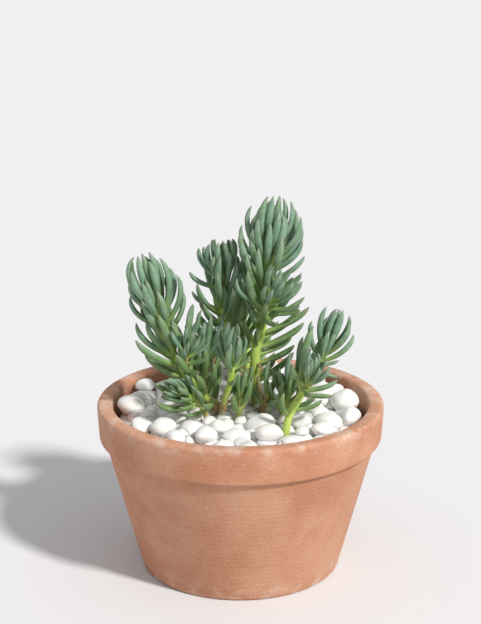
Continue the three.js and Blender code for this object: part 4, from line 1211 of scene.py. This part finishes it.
def grow_stem(bm, shoot, stem):
    """A tube laid along the stem's course, lumpy and rounded off at its end."""
    start = stem[1][0]
    full = stem[1][-1] + shoot["radius"][1] / 2
    blank = stem_blank(round((full - start) / STEM_RING))
    first = len(bm.verts)
    bm.from_mesh(blank)
    bpy.data.meshes.remove(blank)
    bm.verts.ensure_lookup_table()
    layers = {name: bm.verts.layers.float[name] for name in LAYERS}
    flush = FLUSH.get(shoot["node"], FLUSH_ELSEWHERE)
    for vert in bm.verts[first:]:
        distance = start + (full - start) * (vert.co.z + 0.5)
        point, along = on_stem(stem, min(distance, stem[1][-1]))
        front, right = around_stem(along)
        radius = stem_radius(shoot, stem, distance)
        into_end = max(0, 1 - (full - distance) / shoot["radius"][1])
        radius *= math.sqrt(max(0.02, 1 - into_end**2))
        spot = point + along * max(0, distance - stem[1][-1])
        out = front * vert.co.x + right * vert.co.y
        lump = 1 + STEM_LUMPS * noise.noise(Vector(spot + out * radius) * LUMP_FINENESS)
        for face in vert.link_faces:
            face.material_index = 1
        vert.co = Vector(spot + out * radius * lump) * MM
        vert[layers["along"]] = distance / STEM_COURSE
        vert[layers["tone"]] = flush
        vert[layers["age_and_shade"]] = STEM_AGE


def scar_stem(bm, shoot, stem, roll):
    """Where old leaves fell, the bare foot of a stem keeps small raised scars in the same spiral."""
    layers = {name: bm.verts.layers.float[name] for name in ("along", "tone", "dry")}
    wide, tall, proud = SCAR_SIZE
    distance, angle = SCAR_FROM, shoot["turn"]
    while distance < shoot["bare"] - 1:
        point, along = on_stem(stem, distance)
        front, right = around_stem(along)
        out = front * math.cos(math.radians(angle)) + right * math.sin(math.radians(angle))
        radius = stem_radius(shoot, stem, distance)
        made = bmesh.ops.create_icosphere(bm, subdivisions=1, radius=1)["verts"]
        across = np.cross(along, out)
        frame_of_scar = Matrix((across * wide, along * tall, out * proud)).transposed().to_4x4()
        set_on = Matrix.Translation(Vector(point + out * (radius * SCAR_SINK)))
        bmesh.ops.transform(bm, matrix=Matrix.Scale(MM, 4) @ set_on @ frame_of_scar, verts=made)
        for vert in made:
            vert[layers["along"]] = distance / STEM_COURSE
            vert[layers["tone"]] = SCAR_FLUSH
            vert[layers["dry"]] = 0.35 + 0.3 * next(roll)
            for face in vert.link_faces:
                face.material_index = 1
        distance += SCAR_STEP * (0.8 + 0.4 * next(roll))
        angle += GOLDEN_TURN


GROWTH_SEED = 500
SHRIVELLED_SHARE = 0.5
SHRIVELLED_DRYNESS = 0.85
WAXY_BLOOM = waxy_bloom()
LEAF_BLANK = leaf_blank()
leaf_material, stem_material = leaf_skin(), stem_skin()
for node in NODE_NAMES:
    bm = bmesh.new()
    for name in LAYERS:
        bm.verts.layers.float.new(name)
    for shoot, stem, grown in zip(SHOOTS, stems, leaves):
        if shoot["node"] != node:
            continue
        roll = dice(shoot["seed"] + GROWTH_SEED)
        grow_stem(bm, shoot, stem)
        if "root" in shoot:
            scar_stem(bm, shoot, stem, roll)
        for leaf in grown:
            shrivelled = node == "withered_shoot" and next(roll) < SHRIVELLED_SHARE
            dryness = leaf.get("dry", SHRIVELLED_DRYNESS if shrivelled else 0)
            grow_leaf(bm, leaf, roll, dryness, AGE_AND_SHADE.get(node, 0))
    name = node.replace("shoot", "stem_and_leaves")
    growth = shown_piece(name, bm, [leaf_material, stem_material], node)
    plump = growth.modifiers.new("plump", "SUBSURF")
    plump.levels = plump.render_levels = 1
bpy.data.meshes.remove(LEAF_BLANK)


# The setting: a plain pale floor under soft studio light, one broad lamp high up on the right in front and an
# even pale room round it. The camera stands a little above the plant and looks down on it.
FLOOR_RADIUS = 14
PAPER = (0.70, 0.705, 0.72, 1)
KEY_FROM = (0.62, -0.62, 0.80)
KEY_STRENGTH = 3.35
KEY_BREADTH = 6
KEY_COLOUR = (1.0, 0.975, 0.94)
ROOM_COLOUR = (0.99, 0.99, 1.01, 1)
ROOM_LIGHT = 0.55
ROOM_SEEN = 0.84
LOOK_AT = (0, 0.0111, 0.1067)
CAMERA_TILT = 16
CAMERA_DISTANCE = 0.619

bm = bmesh.new()
bmesh.ops.create_circle(bm, cap_ends=True, segments=96, radius=FLOOR_RADIUS)
sheet = bpy.data.meshes.new("paper_floor")
bm.to_mesh(sheet)
bm.free()
floor = bpy.data.objects.new("paper_floor", sheet)
bpy.context.scene.collection.objects.link(floor)
paper, paper_shader, _, _ = new_material("paper", 0.9)
paper_shader.inputs["Base Color"].default_value = PAPER
sheet.materials.append(paper)

key = bpy.data.lights.new("key_light", "SUN")
key.energy = KEY_STRENGTH
key.angle = math.radians(KEY_BREADTH)
key.color = KEY_COLOUR
key_lamp = bpy.data.objects.new("key_light", key)
key_lamp.location = KEY_FROM
key_lamp.rotation_euler = Vector(KEY_FROM).to_track_quat("Z", "Y").to_euler()
bpy.context.scene.collection.objects.link(key_lamp)

room = bpy.data.worlds.new("pale_room")
room.use_nodes = True
room_nodes, room_links = room.node_tree.nodes, room.node_tree.links
glow = room_nodes["Background"]
glow.inputs["Color"].default_value = ROOM_COLOUR
seen_directly = room_nodes.new("ShaderNodeLightPath").outputs["Is Camera Ray"]
strength = spread_between(room_nodes, room_links, seen_directly, 0.0, 1.0, ROOM_LIGHT, ROOM_SEEN)
room_links.new(strength, glow.inputs["Strength"])
bpy.context.scene.world = room
bpy.context.scene.view_settings.view_transform = "Standard"

lens = bpy.data.cameras.new("camera")
lens.lens = 85
lens.sensor_width = 36
camera = bpy.data.objects.new("camera", lens)
tilt = math.radians(CAMERA_TILT)
camera.location = Vector(LOOK_AT) + CAMERA_DISTANCE * Vector((0, -math.cos(tilt), math.sin(tilt)))
camera.rotation_euler = (math.radians(90) - tilt, 0, 0)
bpy.context.scene.collection.objects.link(camera)
bpy.context.scene.camera = camera

bpy.context.view_layer.update()
